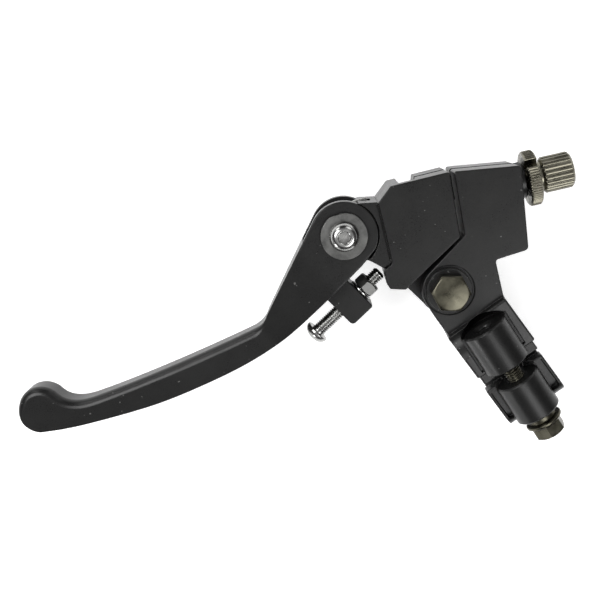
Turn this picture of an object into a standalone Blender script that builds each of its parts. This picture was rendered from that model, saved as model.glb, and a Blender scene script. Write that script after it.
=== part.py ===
"""A folding clutch lever with its perch, for a 22.2 mm handlebar.

The origin is the centre of the handlebar bore. +X runs along the handlebar towards
the cable adjuster, +Y from the handlebar to the lever, +Z along the pivot bolt.
Lengths are written in millimetres and become metres where a mesh is made.
"""
import math

import bmesh
import bpy
from mathutils import Matrix, Vector

MM = 0.001

# Fits
GAP = 0.3                       # play between neighbouring pieces
RUN = 0.3                       # radial play of a shaft in its hole

# Handlebar clamp
BAR_RADIUS = 11.1
CLAMP_LEFT, CLAMP_RIGHT = -11.8, 12.3
CLAMP_TOP = 22.6
CLAMP_HALF_DEPTH, CLAMP_DRAFT = 15.6, 0.9
LIP_LEFT, LIP_RIGHT = -11.0, 11.3
LIP_TOP, LIP_BOTTOM = 3.8, 0.5
LIP_HALF_DEPTH = 14.4
CAP_LEFT, CAP_RIGHT = -12.2, 11.0
CAP_TOP, CAP_BOTTOM = -1.3, -17.6
CAP_HALF_DEPTH = 16.0
BOLT_X, BOLT_Z = -0.5, 16.5
BOLT_LEAN = 0.055               # sideways run of the clamp bolts for each mm towards the lever
BOSS_RADIUS = 8.15
UPPER_BOSS_TOP, UPPER_BOSS_BOTTOM = 19.0, 3.0
CAP_BOSS_TOP, CAP_BOSS_BOTTOM = -2.8, -17.8
POCKET_TOP = 21.4
M6_RADIUS, M6_HEX = 3.0, 10.0
CLAMP_BOLT_TIP = 15.0
CLAMP_HEX_TURN = math.radians(12)
SIDES = ((1, "front"), (-1, "rear"))

# Perch and lever pivot
PIVOT = (-1.5, 35.6)
BODY_HALF_DEPTH = 12.5
PIVOT_CHEEK_RADIUS = 9.4
SPOT_FACE_RADIUS, SPOT_FACE_DEPTH = 8.7, 0.4
TANG_HALF_DEPTH, TANG_SLOT_HALF_DEPTH = 4.9, 5.3
TANG_RADIUS, TANG_SLOT_RADIUS = 10.2, 11.4
M8_RADIUS = 4.0
BUSH_RADIUS = 6.0

# Cable line: from the nipple pocket out through the adjuster
NIPPLE = (2.25, 67.1)
CABLE_ANGLE = math.radians(-23.7)
NIPPLE_POCKET_RADIUS = 3.6
NIPPLE_FRONT_WALL = 4.5
NOTCH_HALF_WIDTH, NOTCH_ANGLE = 2.95, math.radians(48)
CABLE_SLOT_HALF_WIDTH = 1.45
PAD_RADIUS, PAD_START, PAD_END = 6.5, 37.0, 43.6
ADJUSTER_BORE_START = 26.0
RING_START, RING_END, RING_RADIUS = 43.95, 48.2, 9.8
RING_SLOT_WIDTH, RING_SLOT_ANGLE = 3.1, math.radians(38.7)
BARREL_START, BARREL_END, BARREL_RADIUS = 49.6, 60.4, 6.4
BARREL_CHAMFER = 0.9
SHANK_START = 28.5
CABLE_BORE_RADIUS, FERRULE_BORE_RADIUS, FERRULE_DEPTH = 1.5, 3.5, 6.0

# Fold pivot
FOLD = (-19.6, 72.7)
EAR_RADIUS = 12.0
FORK_HALF_DEPTH, FORK_SLOT_HALF_DEPTH = 11.0, 6.7
FORK_SLOT_FLOOR = -33.2
TONGUE_RADIUS, TONGUE_HALF_DEPTH = 10.5, 6.4
SPRING_SLOT_HALF_DEPTH, SPRING_SLOT_RADIUS = 3.1, 8.6
SLEEVE_RADIUS = 4.6
FOLD_WASHER_RADIUS, FOLD_WASHER_THICKNESS = 8.25, 1.2
BUTTON_RADIUS, BUTTON_HEIGHT = 5.25, 3.3
SPRING_WIRE, SPRING_RADIUS, SPRING_TURNS = 1.4, 6.4, 2.25

# Blade
BLADE_HALF_DEPTH = 6.2
NECK_BEND_X, BLADE_ROOT_X = -34.8, -64.0
BALL_CENTRE, BALL_RADIUS = (-148.5, 87.2), 8.6

# Reach screw: its axis starts at the tip and runs towards the head
SCREW_TIP = (-17.75, 53.2)
SCREW_ANGLE = math.radians(187.7)
M5_RADIUS = 2.5
TAB_HALF_DEPTH = 5.0
TAB_START, TAB_END = 10.0, 20.2
NUT_START, NUT_END, M5_HEX = 4.7, 8.9, 8.0
REACH_WASHER_START, REACH_WASHER_END = 9.15, 9.75
SCREW_HEAD_START, SCREW_HEAD_END, SCREW_HEAD_RADIUS = 31.3, 34.6, 4.5

SMOOTH_ANGLE = math.radians(35)


# ---------------------------------------------------------------- scene set-up

def clear_scene():
    for old in list(bpy.data.objects):
        bpy.data.objects.remove(old, do_unlink=True)


def new_collection(name):
    collection = bpy.data.collections.new(name)
    bpy.context.scene.collection.children.link(collection)
    return collection


def material(name, colour, roughness, metallic):
    mat = bpy.data.materials.new(name)
    mat.use_nodes = True
    shader = mat.node_tree.nodes["Principled BSDF"]
    shader.inputs["Base Color"].default_value = (*colour, 1.0)
    shader.inputs["Roughness"].default_value = roughness
    shader.inputs["Metallic"].default_value = metallic
    mat.diffuse_color = (*colour, 1.0)
    return mat


clear_scene()
PARTS = new_collection("clutch_lever")
CUTTERS = new_collection("cutters")
BLACK = material("satin_black", (0.030, 0.030, 0.031), 0.45, 0.0)
GUNMETAL = material("gunmetal_plate", (0.20, 0.185, 0.145), 0.32, 1.0)
ZINC = material("bright_zinc", (0.62, 0.62, 0.60), 0.25, 1.0)
STEEL = material("grey_steel", (0.30, 0.30, 0.29), 0.42, 1.0)
BRONZE = material("bearing_bronze", (0.42, 0.27, 0.12), 0.35, 1.0)
SPRING_STEEL = material("spring_steel", (0.36, 0.36, 0.35), 0.30, 1.0)


# ---------------------------------------------------------------- outlines

def arc(centre, radius, start, end, steps=10):
    """Points along an arc, angles in degrees."""
    points = []
    for i in range(steps + 1):
        angle = math.radians(start + (end - start) * i / steps)
        points.append((centre[0] + radius * math.cos(angle), centre[1] + radius * math.sin(angle)))
    return points


def rounded(corners, steps=4):
    """A closed outline through (x, y, radius) corners, each rounded to its radius."""
    outline = []
    for i, (x, y, radius) in enumerate(corners):
        here = Vector((x, y))
        if radius == 0:
            outline.append((x, y))
            continue
        before = (Vector(corners[i - 1][:2]) - here).normalized()
        after = (Vector(corners[(i + 1) % len(corners)][:2]) - here).normalized()
        half = before.angle(after) / 2
        reach = radius / math.tan(half)
        centre = here + (before + after).normalized() * radius / math.sin(half)
        first = here + before * reach - centre
        turn = first.angle_signed(here + after * reach - centre)
        for k in range(steps + 1):
            spoke = Matrix.Rotation(-turn * k / steps, 2) @ first
            outline.append(tuple(centre + spoke))
    return outline


def sharp(points):
    return [(x, y, 0) for x, y in points]


def along_cable(distance, offset=0.0):
    """The point at a distance along the cable line and an offset up from it."""
    cos_a, sin_a = math.cos(CABLE_ANGLE), math.sin(CABLE_ANGLE)
    return (NIPPLE[0] + distance * cos_a - offset * sin_a,
            NIPPLE[1] + distance * sin_a + offset * cos_a)


def along_screw(distance, offset=0.0):
    """The point at a distance from the reach screw's tip and an offset down from its axis."""
    cos_a, sin_a = math.cos(SCREW_ANGLE), math.sin(SCREW_ANGLE)
    return (SCREW_TIP[0] + distance * cos_a - offset * sin_a,
            SCREW_TIP[1] + distance * sin_a + offset * cos_a)


# ---------------------------------------------------------------- solids

def to_mesh(curve_object, mat):
    """Turn a curve into a welded mesh object of the same name and place."""
    evaluated = curve_object.evaluated_get(bpy.context.evaluated_depsgraph_get())
    mesh = bpy.data.meshes.new_from_object(evaluated)
    bm = bmesh.new()
    bm.from_mesh(mesh)
    bmesh.ops.remove_doubles(bm, verts=bm.verts, dist=0.000001)
    bmesh.ops.recalc_face_normals(bm, faces=bm.faces)
    bm.to_mesh(mesh)
    bm.free()
    name, matrix = curve_object.name, curve_object.matrix_world.copy()
    bpy.data.objects.remove(curve_object)
    solid = bpy.data.objects.new(name, mesh)
    solid.matrix_world = matrix
    mesh.materials.clear()
    mesh.materials.append(mat)
    PARTS.objects.link(solid)
    return solid


def new_curve(name, dimensions):
    curve = bpy.data.curves.new(name, "CURVE")
    curve.dimensions = dimensions
    curve_object = bpy.data.objects.new(name, curve)
    PARTS.objects.link(curve_object)
    return curve_object


def prism(name, outline, low, high, mat=BLACK, plane="XY"):
    """An outline extruded between two heights along the plane's normal."""
    flat = new_curve(name, "2D")
    flat.data.fill_mode = "BOTH"
    flat.data.extrude = (high - low) / 2 * MM
    spline = flat.data.splines.new("POLY")
    spline.points.add(len(outline) - 1)
    for point, (x, y) in zip(spline.points, outline):
        point.co = (x * MM, y * MM, 0, 1)
    spline.use_cyclic_u = True
    middle = (high + low) / 2 * MM
    if plane == "XY":
        flat.location.z = middle
    elif plane == "YZ":
        flat.rotation_euler = (math.pi / 2, 0, math.pi / 2)
        flat.location.x = middle
    else:
        flat.rotation_euler = (math.pi / 2, 0, 0)
        flat.location.y = middle
    bpy.context.view_layer.update()
    return to_mesh(flat, mat)


def adopt(solid, name, mat):
    """Name a primitive that an operator has just made and put it with the parts."""
    solid.name = name
    solid.data.name = name
    solid.data.materials.clear()
    solid.data.materials.append(mat)
    for collection in list(solid.users_collection):
        collection.objects.unlink(solid)
    PARTS.objects.link(solid)
    return solid


def rod(name, radius, start, end, mat=BLACK, sides=32, turn=0.0):
    """A cylinder between two points; with six sides, a hexagon of that corner radius."""
    start, end = Vector(start), Vector(end)
    direction = end - start
    bpy.ops.mesh.primitive_cylinder_add(vertices=sides, radius=radius * MM, depth=direction.length * MM)
    solid = adopt(bpy.context.object, name, mat)
    spin = direction.to_track_quat("Z", "Y").to_matrix().to_4x4() @ Matrix.Rotation(turn, 4, "Z")
    solid.matrix_world = Matrix.Translation((start + end) / 2 * MM) @ spin
    return solid


def turned(name, profile, start, direction, mat, sides=32):
    """A profile of (radius, distance) points, top to bottom, turned about a direction from a start."""
    mesh = bpy.data.meshes.new(name)
    bm = bmesh.new()
    verts = [bm.verts.new((radius * MM, 0, distance * MM)) for radius, distance in profile]
    for first, second in zip(verts, verts[1:]):
        bm.edges.new((first, second))
    bm.to_mesh(mesh)
    bm.free()
    solid = bpy.data.objects.new(name, mesh)
    mesh.materials.append(mat)
    PARTS.objects.link(solid)
    screw = solid.modifiers.new("turn", "SCREW")
    screw.steps = sides
    screw.render_steps = sides
    screw.use_merge_vertices = True
    screw.merge_threshold = 0.00001
    spin = Vector(direction).to_track_quat("Z", "Y").to_matrix().to_4x4()
    solid.matrix_world = Matrix.Translation(Vector(start) * MM) @ spin
    return solid


def hide(tool):
    """Keep a shape as the tool of a Boolean only."""
    if tool.name in PARTS.objects:
        PARTS.objects.unlink(tool)
        CUTTERS.objects.link(tool)
    tool.hide_render = True
    tool.display_type = "WIRE"


def boolean(solid, tool, operation):
    step = solid.modifiers.new(tool.name, "BOOLEAN")
    step.operation = operation
    step.solver = "EXACT"
    step.object = tool
    hide(tool)


def cut(solid, *tools):
    for tool in tools:
        boolean(solid, tool, "DIFFERENCE")


def join(solid, *tools):
    for tool in tools:
        boolean(solid, tool, "UNION")


def tube_profile(outer, inner, top, bottom):
    """A closed ring section, starting down its outer side."""
    return [(outer, top), (outer, bottom), (inner, bottom), (inner, top), (outer, top)]


def at(point, z):
    return (point[0], point[1], z)


def on_bolt(height, side, outward=0.0):
    """A point on a clamp bolt's axis at a height above the bar, on the front (1) or rear (-1) side."""
    return (BOLT_X + BOLT_LEAN * height, height, side * (BOLT_Z + outward))


def hex_corner(across_flats):
    return across_flats / math.sqrt(3)


def set_origin(solid, point):
    """Move an object's origin to a point, leaving its shape where it is."""
    bpy.context.view_layer.update()
    target = Matrix.Translation(Vector(point) * MM)
    solid.data.transform(target.inverted() @ solid.matrix_world)
    solid.matrix_world = target


# ---------------------------------------------------------------- perch and clamp

def cable_slot(name):
    """The mid-plane slot that lets the cable lift out upwards, from the nipple to the adjuster."""
    depth_below, height_above, length = 1.5, 22.0, 47.0
    corners = [along_cable(0, -depth_below), along_cable(length, -depth_below),
               along_cable(length, height_above), along_cable(0, height_above)]
    return prism(name, corners, -CABLE_SLOT_HALF_WIDTH, CABLE_SLOT_HALF_WIDTH)


def make_perch():
    left, right = -11.2, 12.4
    body_bottom = 14.0
    cheek = arc(PIVOT, PIVOT_CHEEK_RADIUS, 180, 102, 8)
    outline = rounded(
        sharp(reversed(cheek)) +
        [(left, 30.0, 0), (left, body_bottom, 0), (right, body_bottom, 0), (right, CLAMP_TOP, 5.0),
         (17.4, 34.7, 1.2), (28.6, 30.9, 1.6), (42.9, 56.3, 1.2), (23.5, 68.3, 0.8), (13.8, 48.1, 1.0)])
    perch = prism("perch_body", outline, -BODY_HALF_DEPTH, BODY_HALF_DEPTH)

    depth, foot = CLAMP_HALF_DEPTH, CLAMP_HALF_DEPTH - CLAMP_DRAFT
    housing = rounded([(CLAMP_TOP, depth, 0.8), (LIP_TOP, foot, 0.6),
                       (LIP_TOP, -foot, 0.6), (CLAMP_TOP, -depth, 0.8)])
    join(perch, prism("clamp_housing", housing, CLAMP_LEFT, CLAMP_RIGHT, plane="YZ"))
    lip = [(LIP_TOP + 1, LIP_HALF_DEPTH), (LIP_BOTTOM, LIP_HALF_DEPTH),
           (LIP_BOTTOM, -LIP_HALF_DEPTH), (LIP_TOP + 1, -LIP_HALF_DEPTH)]
    join(perch, prism("clamp_lip", lip, LIP_LEFT, LIP_RIGHT, plane="YZ"))
    join(perch, rod("adjuster_pad", PAD_RADIUS, at(along_cable(PAD_START), 0), at(along_cable(PAD_END), 0)))

    for side, where in SIDES:
        cut(perch, rod("pocket_" + where, BOSS_RADIUS + 0.5,
                       on_bolt(UPPER_BOSS_TOP, side), on_bolt(POCKET_TOP, side)))
    for side, where in SIDES:
        join(perch, rod("upper_boss_" + where, BOSS_RADIUS,
                        on_bolt(UPPER_BOSS_TOP, side), on_bolt(UPPER_BOSS_BOTTOM, side)))
    for side, where in SIDES:
        cut(perch, rod("tapped_hole_" + where, M6_RADIUS + RUN,
                       on_bolt(UPPER_BOSS_TOP + 1, side), on_bolt(LIP_BOTTOM - 2, side), sides=24))
        cut(perch, rod("spot_face_" + where, SPOT_FACE_RADIUS,
                       at(PIVOT, side * (BODY_HALF_DEPTH - SPOT_FACE_DEPTH)),
                       at(PIVOT, side * (BODY_HALF_DEPTH + 2))))

    slot = arc(PIVOT, TANG_SLOT_RADIUS, 180, 360, 24)
    slot_right = PIVOT[0] + TANG_SLOT_RADIUS
    slot = slot + [(slot_right, 50.0), (PIVOT[0] - TANG_SLOT_RADIUS, 50.0)]
    cut(perch, prism("tang_slot", slot, -TANG_SLOT_HALF_DEPTH, TANG_SLOT_HALF_DEPTH))
    cut(perch, rod("pivot_bore", M8_RADIUS + RUN, at(PIVOT, -20), at(PIVOT, 20)))
    cut(perch, cable_slot("perch_cable_slot"))
    cut(perch, rod("adjuster_bore", M8_RADIUS + RUN,
                   at(along_cable(ADJUSTER_BORE_START), 0), at(along_cable(PAD_END + 5), 0), sides=24))
    cut(perch, rod("bar_bore_upper", BAR_RADIUS, (-20, 0, 0), (20, 0, 0), sides=48))
    set_origin(perch, (0, 0, 0))


def make_clamp_cap():
    depth, corner = CAP_HALF_DEPTH, 5.0
    section = rounded([(CAP_TOP, depth, 0.6), (CAP_BOTTOM, depth, corner),
                       (CAP_BOTTOM, -depth, corner), (CAP_TOP, -depth, 0.6)], 5)
    cap = prism("clamp_cap", section, CAP_LEFT, CAP_RIGHT, plane="YZ")
    relief_shift = 1.3
    for side, where in SIDES:
        join(cap, rod("cap_boss_" + where, BOSS_RADIUS,
                      on_bolt(CAP_BOSS_TOP, side), on_bolt(CAP_BOSS_BOTTOM, side)))
        cut(cap, rod("cap_relief_" + where, BOSS_RADIUS,
                     on_bolt(CAP_TOP + 2, side, relief_shift), on_bolt(CAP_BOSS_TOP, side, relief_shift)))
    for side, where in SIDES:
        cut(cap, rod("cap_hole_" + where, M6_RADIUS + RUN,
                     on_bolt(CAP_TOP + 3, side), on_bolt(CAP_BOSS_BOTTOM - 3, side), sides=24))
    cut(cap, rod("bar_bore_lower", BAR_RADIUS, (-20, 0, 0), (20, 0, 0), sides=48))
    set_origin(cap, (0, 0, 0))


def make_clamp_fasteners():
    washer_thickness, flange_thickness, head_height = 2.2, 1.7, 6.3
    down = Vector(on_bolt(-1, 1)) - Vector(on_bolt(0, 1))
    washer_top = CAP_BOSS_BOTTOM - GAP
    head = washer_top - washer_thickness - GAP
    flange = [(0, flange_thickness), (5.6, flange_thickness), (6.7, 1.1), (6.7, 0), (0, 0)]
    for side, where in SIDES:
        turned("clamp_washer_" + where, tube_profile(5.1, M6_RADIUS + RUN, washer_thickness, 0),
               on_bolt(washer_top, side), down, GUNMETAL)
        bolt = rod("clamp_bolt_" + where, hex_corner(M6_HEX), on_bolt(head - 0.4, side),
                   on_bolt(head - head_height, side), GUNMETAL, 6, CLAMP_HEX_TURN)
        join(bolt, turned("clamp_flange_" + where, flange, on_bolt(head, side), down, GUNMETAL, 32))
        join(bolt, rod("clamp_shank_" + where, M6_RADIUS, on_bolt(head - 1, side),
                       on_bolt(CLAMP_BOLT_TIP, side), GUNMETAL, 24))
        set_origin(bolt, on_bolt(head, side))


# ---------------------------------------------------------------- lever pivot

def make_pivot_fasteners():
    face = BODY_HALF_DEPTH - SPOT_FACE_DEPTH
    washer_radius, washer_thickness = 8.0, 1.2
    head_height, nut_height, m8_hex, tip_length = 5.2, 7.0, 12.0, 1.5
    up, down = (0, 0, 1), (0, 0, -1)
    ring = tube_profile(washer_radius, M8_RADIUS + RUN, washer_thickness, 0)
    turned("pivot_washer", ring, at(PIVOT, face + GAP), up, BLACK)
    turned("pivot_nut_washer", ring, at(PIVOT, -face - GAP), down, GUNMETAL)
    head = face + GAP + washer_thickness + GAP
    bolt = rod("pivot_bolt", hex_corner(m8_hex), at(PIVOT, head), at(PIVOT, head + head_height),
               GUNMETAL, 6, math.radians(-6.8))
    tip = -head - nut_height - tip_length
    join(bolt, rod("pivot_shank", M8_RADIUS, at(PIVOT, tip), at(PIVOT, head + 1), GUNMETAL, 32))
    set_origin(bolt, at(PIVOT, 0))
    nut = rod("pivot_nut", hex_corner(m8_hex), at(PIVOT, -head), at(PIVOT, -head - nut_height),
              GUNMETAL, 6, math.radians(10))
    cut(nut, rod("pivot_nut_bore", M8_RADIUS + RUN, at(PIVOT, 0), at(PIVOT, -40), sides=24))
    set_origin(nut, at(PIVOT, 0))
    bush = tube_profile(BUSH_RADIUS, M8_RADIUS + RUN, TANG_HALF_DEPTH, -TANG_HALF_DEPTH)
    turned("pivot_bush", bush, at(PIVOT, 0), up, BRONZE)


# ---------------------------------------------------------------- knuckle

def make_knuckle():
    depth = BODY_HALF_DEPTH
    block = rounded([(-3.4, 75.1, 0.5), (3.3, 77.2, 1.2), (22.3, 69.1, 0.8), (12.3, 48.5, 0.8),
                     (-13.5, 44.7, 1.2), (-17.8, 48.2, 1.2), (-17.6, 50.6, 1.2), (-15.6, 54.9, 0.8),
                     (-12.0, 54.9, 1.6), (-7.2, 65.8, 6.0)])
    knuckle = prism("knuckle", block, -depth, depth)

    shelf = rounded([(-9.7, 79.4, 0), (-3.6, 75.4, 0), (-1.5, 70.0, 0), (-8.0, 57.0, 0), (-13.0, 54.9, 0),
                     (-15.3, 55.3, 0.5), (-17.6, 60.3, 0)])
    shelf = prism("shelf", shelf, -FORK_HALF_DEPTH, FORK_HALF_DEPTH)
    cut(shelf, rod("shelf_relief", EAR_RADIUS + GAP, at(FOLD, -20), at(FOLD, 20), sides=64))
    join(knuckle, shelf)
    tongue = arc(FOLD, TONGUE_RADIUS, 262, 38, 18)
    tongue = rounded(sharp(tongue) + [(-4.0, 74.7, 0), (0.0, 70.0, 0), (-6.0, 52.0, 0), (-15.0, 54.0, 0),
                                      (-18.2, 60.0, 2.0)])
    join(knuckle, prism("tongue", tongue, -TONGUE_HALF_DEPTH, TONGUE_HALF_DEPTH))
    tang = arc(PIVOT, TANG_RADIUS, 180, 360, 20)
    tang = tang + [(PIVOT[0] + TANG_RADIUS, 50.0), (-13.3, 50.0), (-13.3, 45.1)]
    join(knuckle, prism("tang", tang, -TANG_HALF_DEPTH, TANG_HALF_DEPTH))

    pocket_depth = depth - NIPPLE_FRONT_WALL
    cut(knuckle, rod("nipple_pocket", NIPPLE_POCKET_RADIUS, at(NIPPLE, -depth - 2), at(NIPPLE, pocket_depth)))
    along = Vector((math.cos(NOTCH_ANGLE), math.sin(NOTCH_ANGLE)))
    across = Vector((-along.y, along.x)) * NOTCH_HALF_WIDTH
    foot, mouth = Vector(NIPPLE), Vector(NIPPLE) + along * 15
    notch = [tuple(foot - across), tuple(mouth - across), tuple(mouth + across), tuple(foot + across)]
    cut(knuckle, prism("nipple_notch", notch, -depth - 2, pocket_depth))
    cut(knuckle, cable_slot("knuckle_cable_slot"))
    cut(knuckle, rod("bush_bore", BUSH_RADIUS + RUN, at(PIVOT, -10), at(PIVOT, 10)))
    cut(knuckle, rod("sleeve_bore", SLEEVE_RADIUS + RUN, at(FOLD, -10), at(FOLD, 10)))
    room_left, room_right, room_top = -40.0, -5.2, 86.0
    spring_room = arc(FOLD, SPRING_SLOT_RADIUS, 270, 350, 8)
    spring_room += [(room_right, 75.4), (room_right, room_top), (room_left, room_top),
                    (room_left, FOLD[1] - SPRING_SLOT_RADIUS)]
    cut(knuckle, prism("spring_room", spring_room, -SPRING_SLOT_HALF_DEPTH, SPRING_SLOT_HALF_DEPTH))
    set_origin(knuckle, at(PIVOT, 0))


# ---------------------------------------------------------------- blade

def make_blade():
    lower = [(-146.8, 76.7), (-140.2, 73.7), (-125.7, 68.0), (-110.9, 62.9), (-95.2, 59.0),
             (-79.0, 56.0), (-66.0, 54.8), (-56.0, 55.1), (-37.0, 57.8), (-21.0, 60.4)]
    ear = arc(FOLD, EAR_RADIUS, -60, 118, 22)
    upper = [(-60.0, 65.0), (-63.2, 64.0), (-67.0, 63.8), (-88.7, 68.4), (-109.0, 73.2), (-127.5, 78.2)]
    saddle = [(-133.6, 80.3), (-137.2, 82.9), (-139.3, 86.2)]
    ball = arc(BALL_CENTRE, BALL_RADIUS, 18, 240, 22)
    outline = lower + ear + upper + saddle + ball
    blade = prism("blade", outline, -FORK_HALF_DEPTH, FORK_HALF_DEPTH)

    far, near = -160.0, 0.0
    thick, thin = FORK_HALF_DEPTH + 1, BLADE_HALF_DEPTH
    taper = [(far, thin), (BLADE_ROOT_X, thin), (NECK_BEND_X, FORK_HALF_DEPTH), (NECK_BEND_X + 1, thick),
             (near, thick)]
    mirrored = [(x, -z) for x, z in reversed(taper)]
    boolean(blade, prism("blade_thickness", taper + mirrored, 40, 110, plane="XZ"), "INTERSECT")

    tab = rounded([(*along_screw(TAB_START, -9.0), 0), (*along_screw(TAB_END, -9.0), 0),
                   (*along_screw(TAB_END, 6.6), 1.6), (*along_screw(TAB_START, 6.6), 0.8)])
    join(blade, prism("stop_tab", tab, -TAB_HALF_DEPTH, TAB_HALF_DEPTH))

    half = FORK_SLOT_HALF_DEPTH
    bridge_top, bridge_end, slot_bottom, slot_top = 61.6, -25.6, 50.0, 90.0
    slot = [(FORK_SLOT_FLOOR, bridge_top), (bridge_end, bridge_top), (bridge_end, slot_bottom),
            (0.0, slot_bottom), (0.0, slot_top), (FORK_SLOT_FLOOR, slot_top)]
    cut(blade, prism("fork_slot", slot, -half, half))
    cut(blade, rod("fold_bore", M6_RADIUS + RUN, at(FOLD, -20), at(FOLD, 20), sides=24))
    cut(blade, rod("reach_bore", M5_RADIUS + RUN, at(along_screw(TAB_START - 4), 0),
                   at(along_screw(TAB_END + 4), 0), sides=24))
    set_origin(blade, at(FOLD, 0))


def make_fold_fasteners():
    up, down = (0, 0, 1), (0, 0, -1)
    m6_nut_height, socket = 6.0, 4.0
    ring = tube_profile(FOLD_WASHER_RADIUS, M6_RADIUS + RUN, FOLD_WASHER_THICKNESS, 0)
    turned("fold_washer", ring, at(FOLD, FORK_HALF_DEPTH + GAP), up, STEEL)
    turned("fold_nut_washer", ring, at(FOLD, -FORK_HALF_DEPTH - GAP), down, STEEL)
    seat = FORK_HALF_DEPTH + 2 * GAP + FOLD_WASHER_THICKNESS
    tip = -seat - m6_nut_height - 1.0
    dome = [(0, BUTTON_HEIGHT), (2.9, BUTTON_HEIGHT), (3.9, 2.8), (4.7, 1.9), (BUTTON_RADIUS, 0.5),
            (BUTTON_RADIUS, 0), (M6_RADIUS, 0), (M6_RADIUS, tip - seat), (0, tip - seat)]
    screw = turned("fold_screw", dome, at(FOLD, seat), up, ZINC)
    cut(screw, rod("fold_socket", hex_corner(socket), at(FOLD, seat + 1.2), at(FOLD, seat + 6), sides=6,
                   turn=math.radians(20)))
    nut = rod("fold_nut", hex_corner(M6_HEX), at(FOLD, -seat), at(FOLD, -seat - m6_nut_height), ZINC, 6)
    cut(nut, rod("fold_nut_bore", M6_RADIUS + RUN, at(FOLD, 0), at(FOLD, -40), sides=24))
    set_origin(nut, at(FOLD, 0))
    sleeve = tube_profile(SLEEVE_RADIUS, M6_RADIUS + RUN, TONGUE_HALF_DEPTH, -TONGUE_HALF_DEPTH)
    turned("fold_sleeve", sleeve, at(FOLD, 0), up, STEEL)


def make_fold_spring():
    """A torsion spring: one leg rests on the knuckle, the other on the floor of the fork."""
    pitch, steps_per_turn = 1.75, 16
    start_angle = math.radians(180)
    height = pitch * SPRING_TURNS
    steps = round(SPRING_TURNS * steps_per_turn)
    points = []
    for i in range(steps + 1):
        angle = start_angle - 2 * math.pi * SPRING_TURNS * i / steps
        points.append((FOLD[0] + SPRING_RADIUS * math.cos(angle), FOLD[1] + SPRING_RADIUS * math.sin(angle),
                       height / 2 - height * i / steps))
    points.insert(0, (FOLD[0] - SPRING_RADIUS - 0.2, FOLD[1] - 6.5, height / 2))
    last = Vector(points[-1])
    points.append(tuple(last + Vector((6.0, 0.2, 0))))
    points.append(tuple(last + Vector((9.6, -0.3, 0))))
    points.append(tuple(last + Vector((13.6, -2.1, 0))))
    wire = new_curve("fold_spring", "3D")
    wire.data.bevel_depth = SPRING_WIRE / 2 * MM
    wire.data.bevel_resolution = 2
    wire.data.use_fill_caps = True
    spline = wire.data.splines.new("POLY")
    spline.points.add(len(points) - 1)
    for point, (x, y, z) in zip(spline.points, points):
        point.co = (x * MM, y * MM, z * MM, 1)
    bpy.context.view_layer.update()
    spring = to_mesh(wire, SPRING_STEEL)
    set_origin(spring, at(FOLD, 0))


# ---------------------------------------------------------------- reach screw

def make_reach_fasteners():
    head_side = Vector((math.cos(SCREW_ANGLE), math.sin(SCREW_ANGLE), 0))
    tip = at(SCREW_TIP, 0)
    head, crown = SCREW_HEAD_START, SCREW_HEAD_END
    cone = 0.7
    profile = [(0, crown), (2.6, crown - 0.25), (4.0, crown - 1.2), (SCREW_HEAD_RADIUS, crown - 2.5),
               (SCREW_HEAD_RADIUS, head), (M5_RADIUS, head), (M5_RADIUS, cone), (M5_RADIUS - cone, 0), (0, 0)]
    turned("reach_screw", profile, tip, head_side, ZINC)
    nut = rod("reach_lock_nut", hex_corner(M5_HEX), at(along_screw(NUT_START), 0),
              at(along_screw(NUT_END), 0), ZINC, 6, math.radians(14))
    cut(nut, rod("lock_nut_bore", M5_RADIUS + RUN, at(along_screw(0), 0), at(along_screw(14), 0), sides=24))
    set_origin(nut, at(along_screw(NUT_START), 0))
    washer = tube_profile(4.5, M5_RADIUS + RUN, REACH_WASHER_END, REACH_WASHER_START)
    turned("reach_washer", washer, tip, head_side, ZINC, 24)


# ---------------------------------------------------------------- cable adjuster

def make_cable_adjuster():
    outward = Vector((math.cos(CABLE_ANGLE), math.sin(CABLE_ANGLE), 0))
    start = at(NIPPLE, 0)
    groove_radius, groove_start = 5.2, BARREL_START - 1.0
    ferrule_floor = BARREL_END - FERRULE_DEPTH
    profile = [(FERRULE_BORE_RADIUS, BARREL_END), (BARREL_RADIUS - BARREL_CHAMFER, BARREL_END),
               (BARREL_RADIUS, BARREL_END - BARREL_CHAMFER), (BARREL_RADIUS, BARREL_START),
               (groove_radius, BARREL_START), (groove_radius, groove_start), (M8_RADIUS, groove_start),
               (M8_RADIUS, SHANK_START), (CABLE_BORE_RADIUS, SHANK_START), (CABLE_BORE_RADIUS, ferrule_floor),
               (FERRULE_BORE_RADIUS, ferrule_floor), (FERRULE_BORE_RADIUS, BARREL_END)]
    turned("cable_adjuster", profile, start, outward, GUNMETAL, 40)

    ring = turned("adjuster_lock_ring", tube_profile(RING_RADIUS, M8_RADIUS + RUN, RING_END, RING_START),
                  start, outward, GUNMETAL, 40)
    up = Vector((-math.sin(CABLE_ANGLE), math.cos(CABLE_ANGLE), 0))
    toward_slot = up * math.sin(RING_SLOT_ANGLE) + Vector((0, 0, 1)) * math.cos(RING_SLOT_ANGLE)
    middle = Vector(at(along_cable((RING_START + RING_END) / 2), 0)) + toward_slot * RING_RADIUS
    slot_length, slot_height = 8.0, 2 * RING_RADIUS - 6.0
    bpy.ops.mesh.primitive_cube_add(size=1)
    slot = adopt(bpy.context.object, "ring_slot", GUNMETAL)
    across = outward.cross(toward_slot)
    axes = Matrix((outward * slot_length, across * RING_SLOT_WIDTH, toward_slot * slot_height)).transposed()
    slot.matrix_world = Matrix.Translation(middle * MM) @ (axes * MM).to_4x4()
    cut(ring, slot)


def shade_parts():
    for solid in PARTS.objects:
        solid.data.shade_smooth()
        solid.data.set_sharp_from_angle(angle=SMOOTH_ANGLE)


make_perch()
make_clamp_cap()
make_clamp_fasteners()
make_pivot_fasteners()
make_knuckle()
make_blade()
make_fold_fasteners()
make_fold_spring()
make_reach_fasteners()
make_cable_adjuster()
shade_parts()
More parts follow.
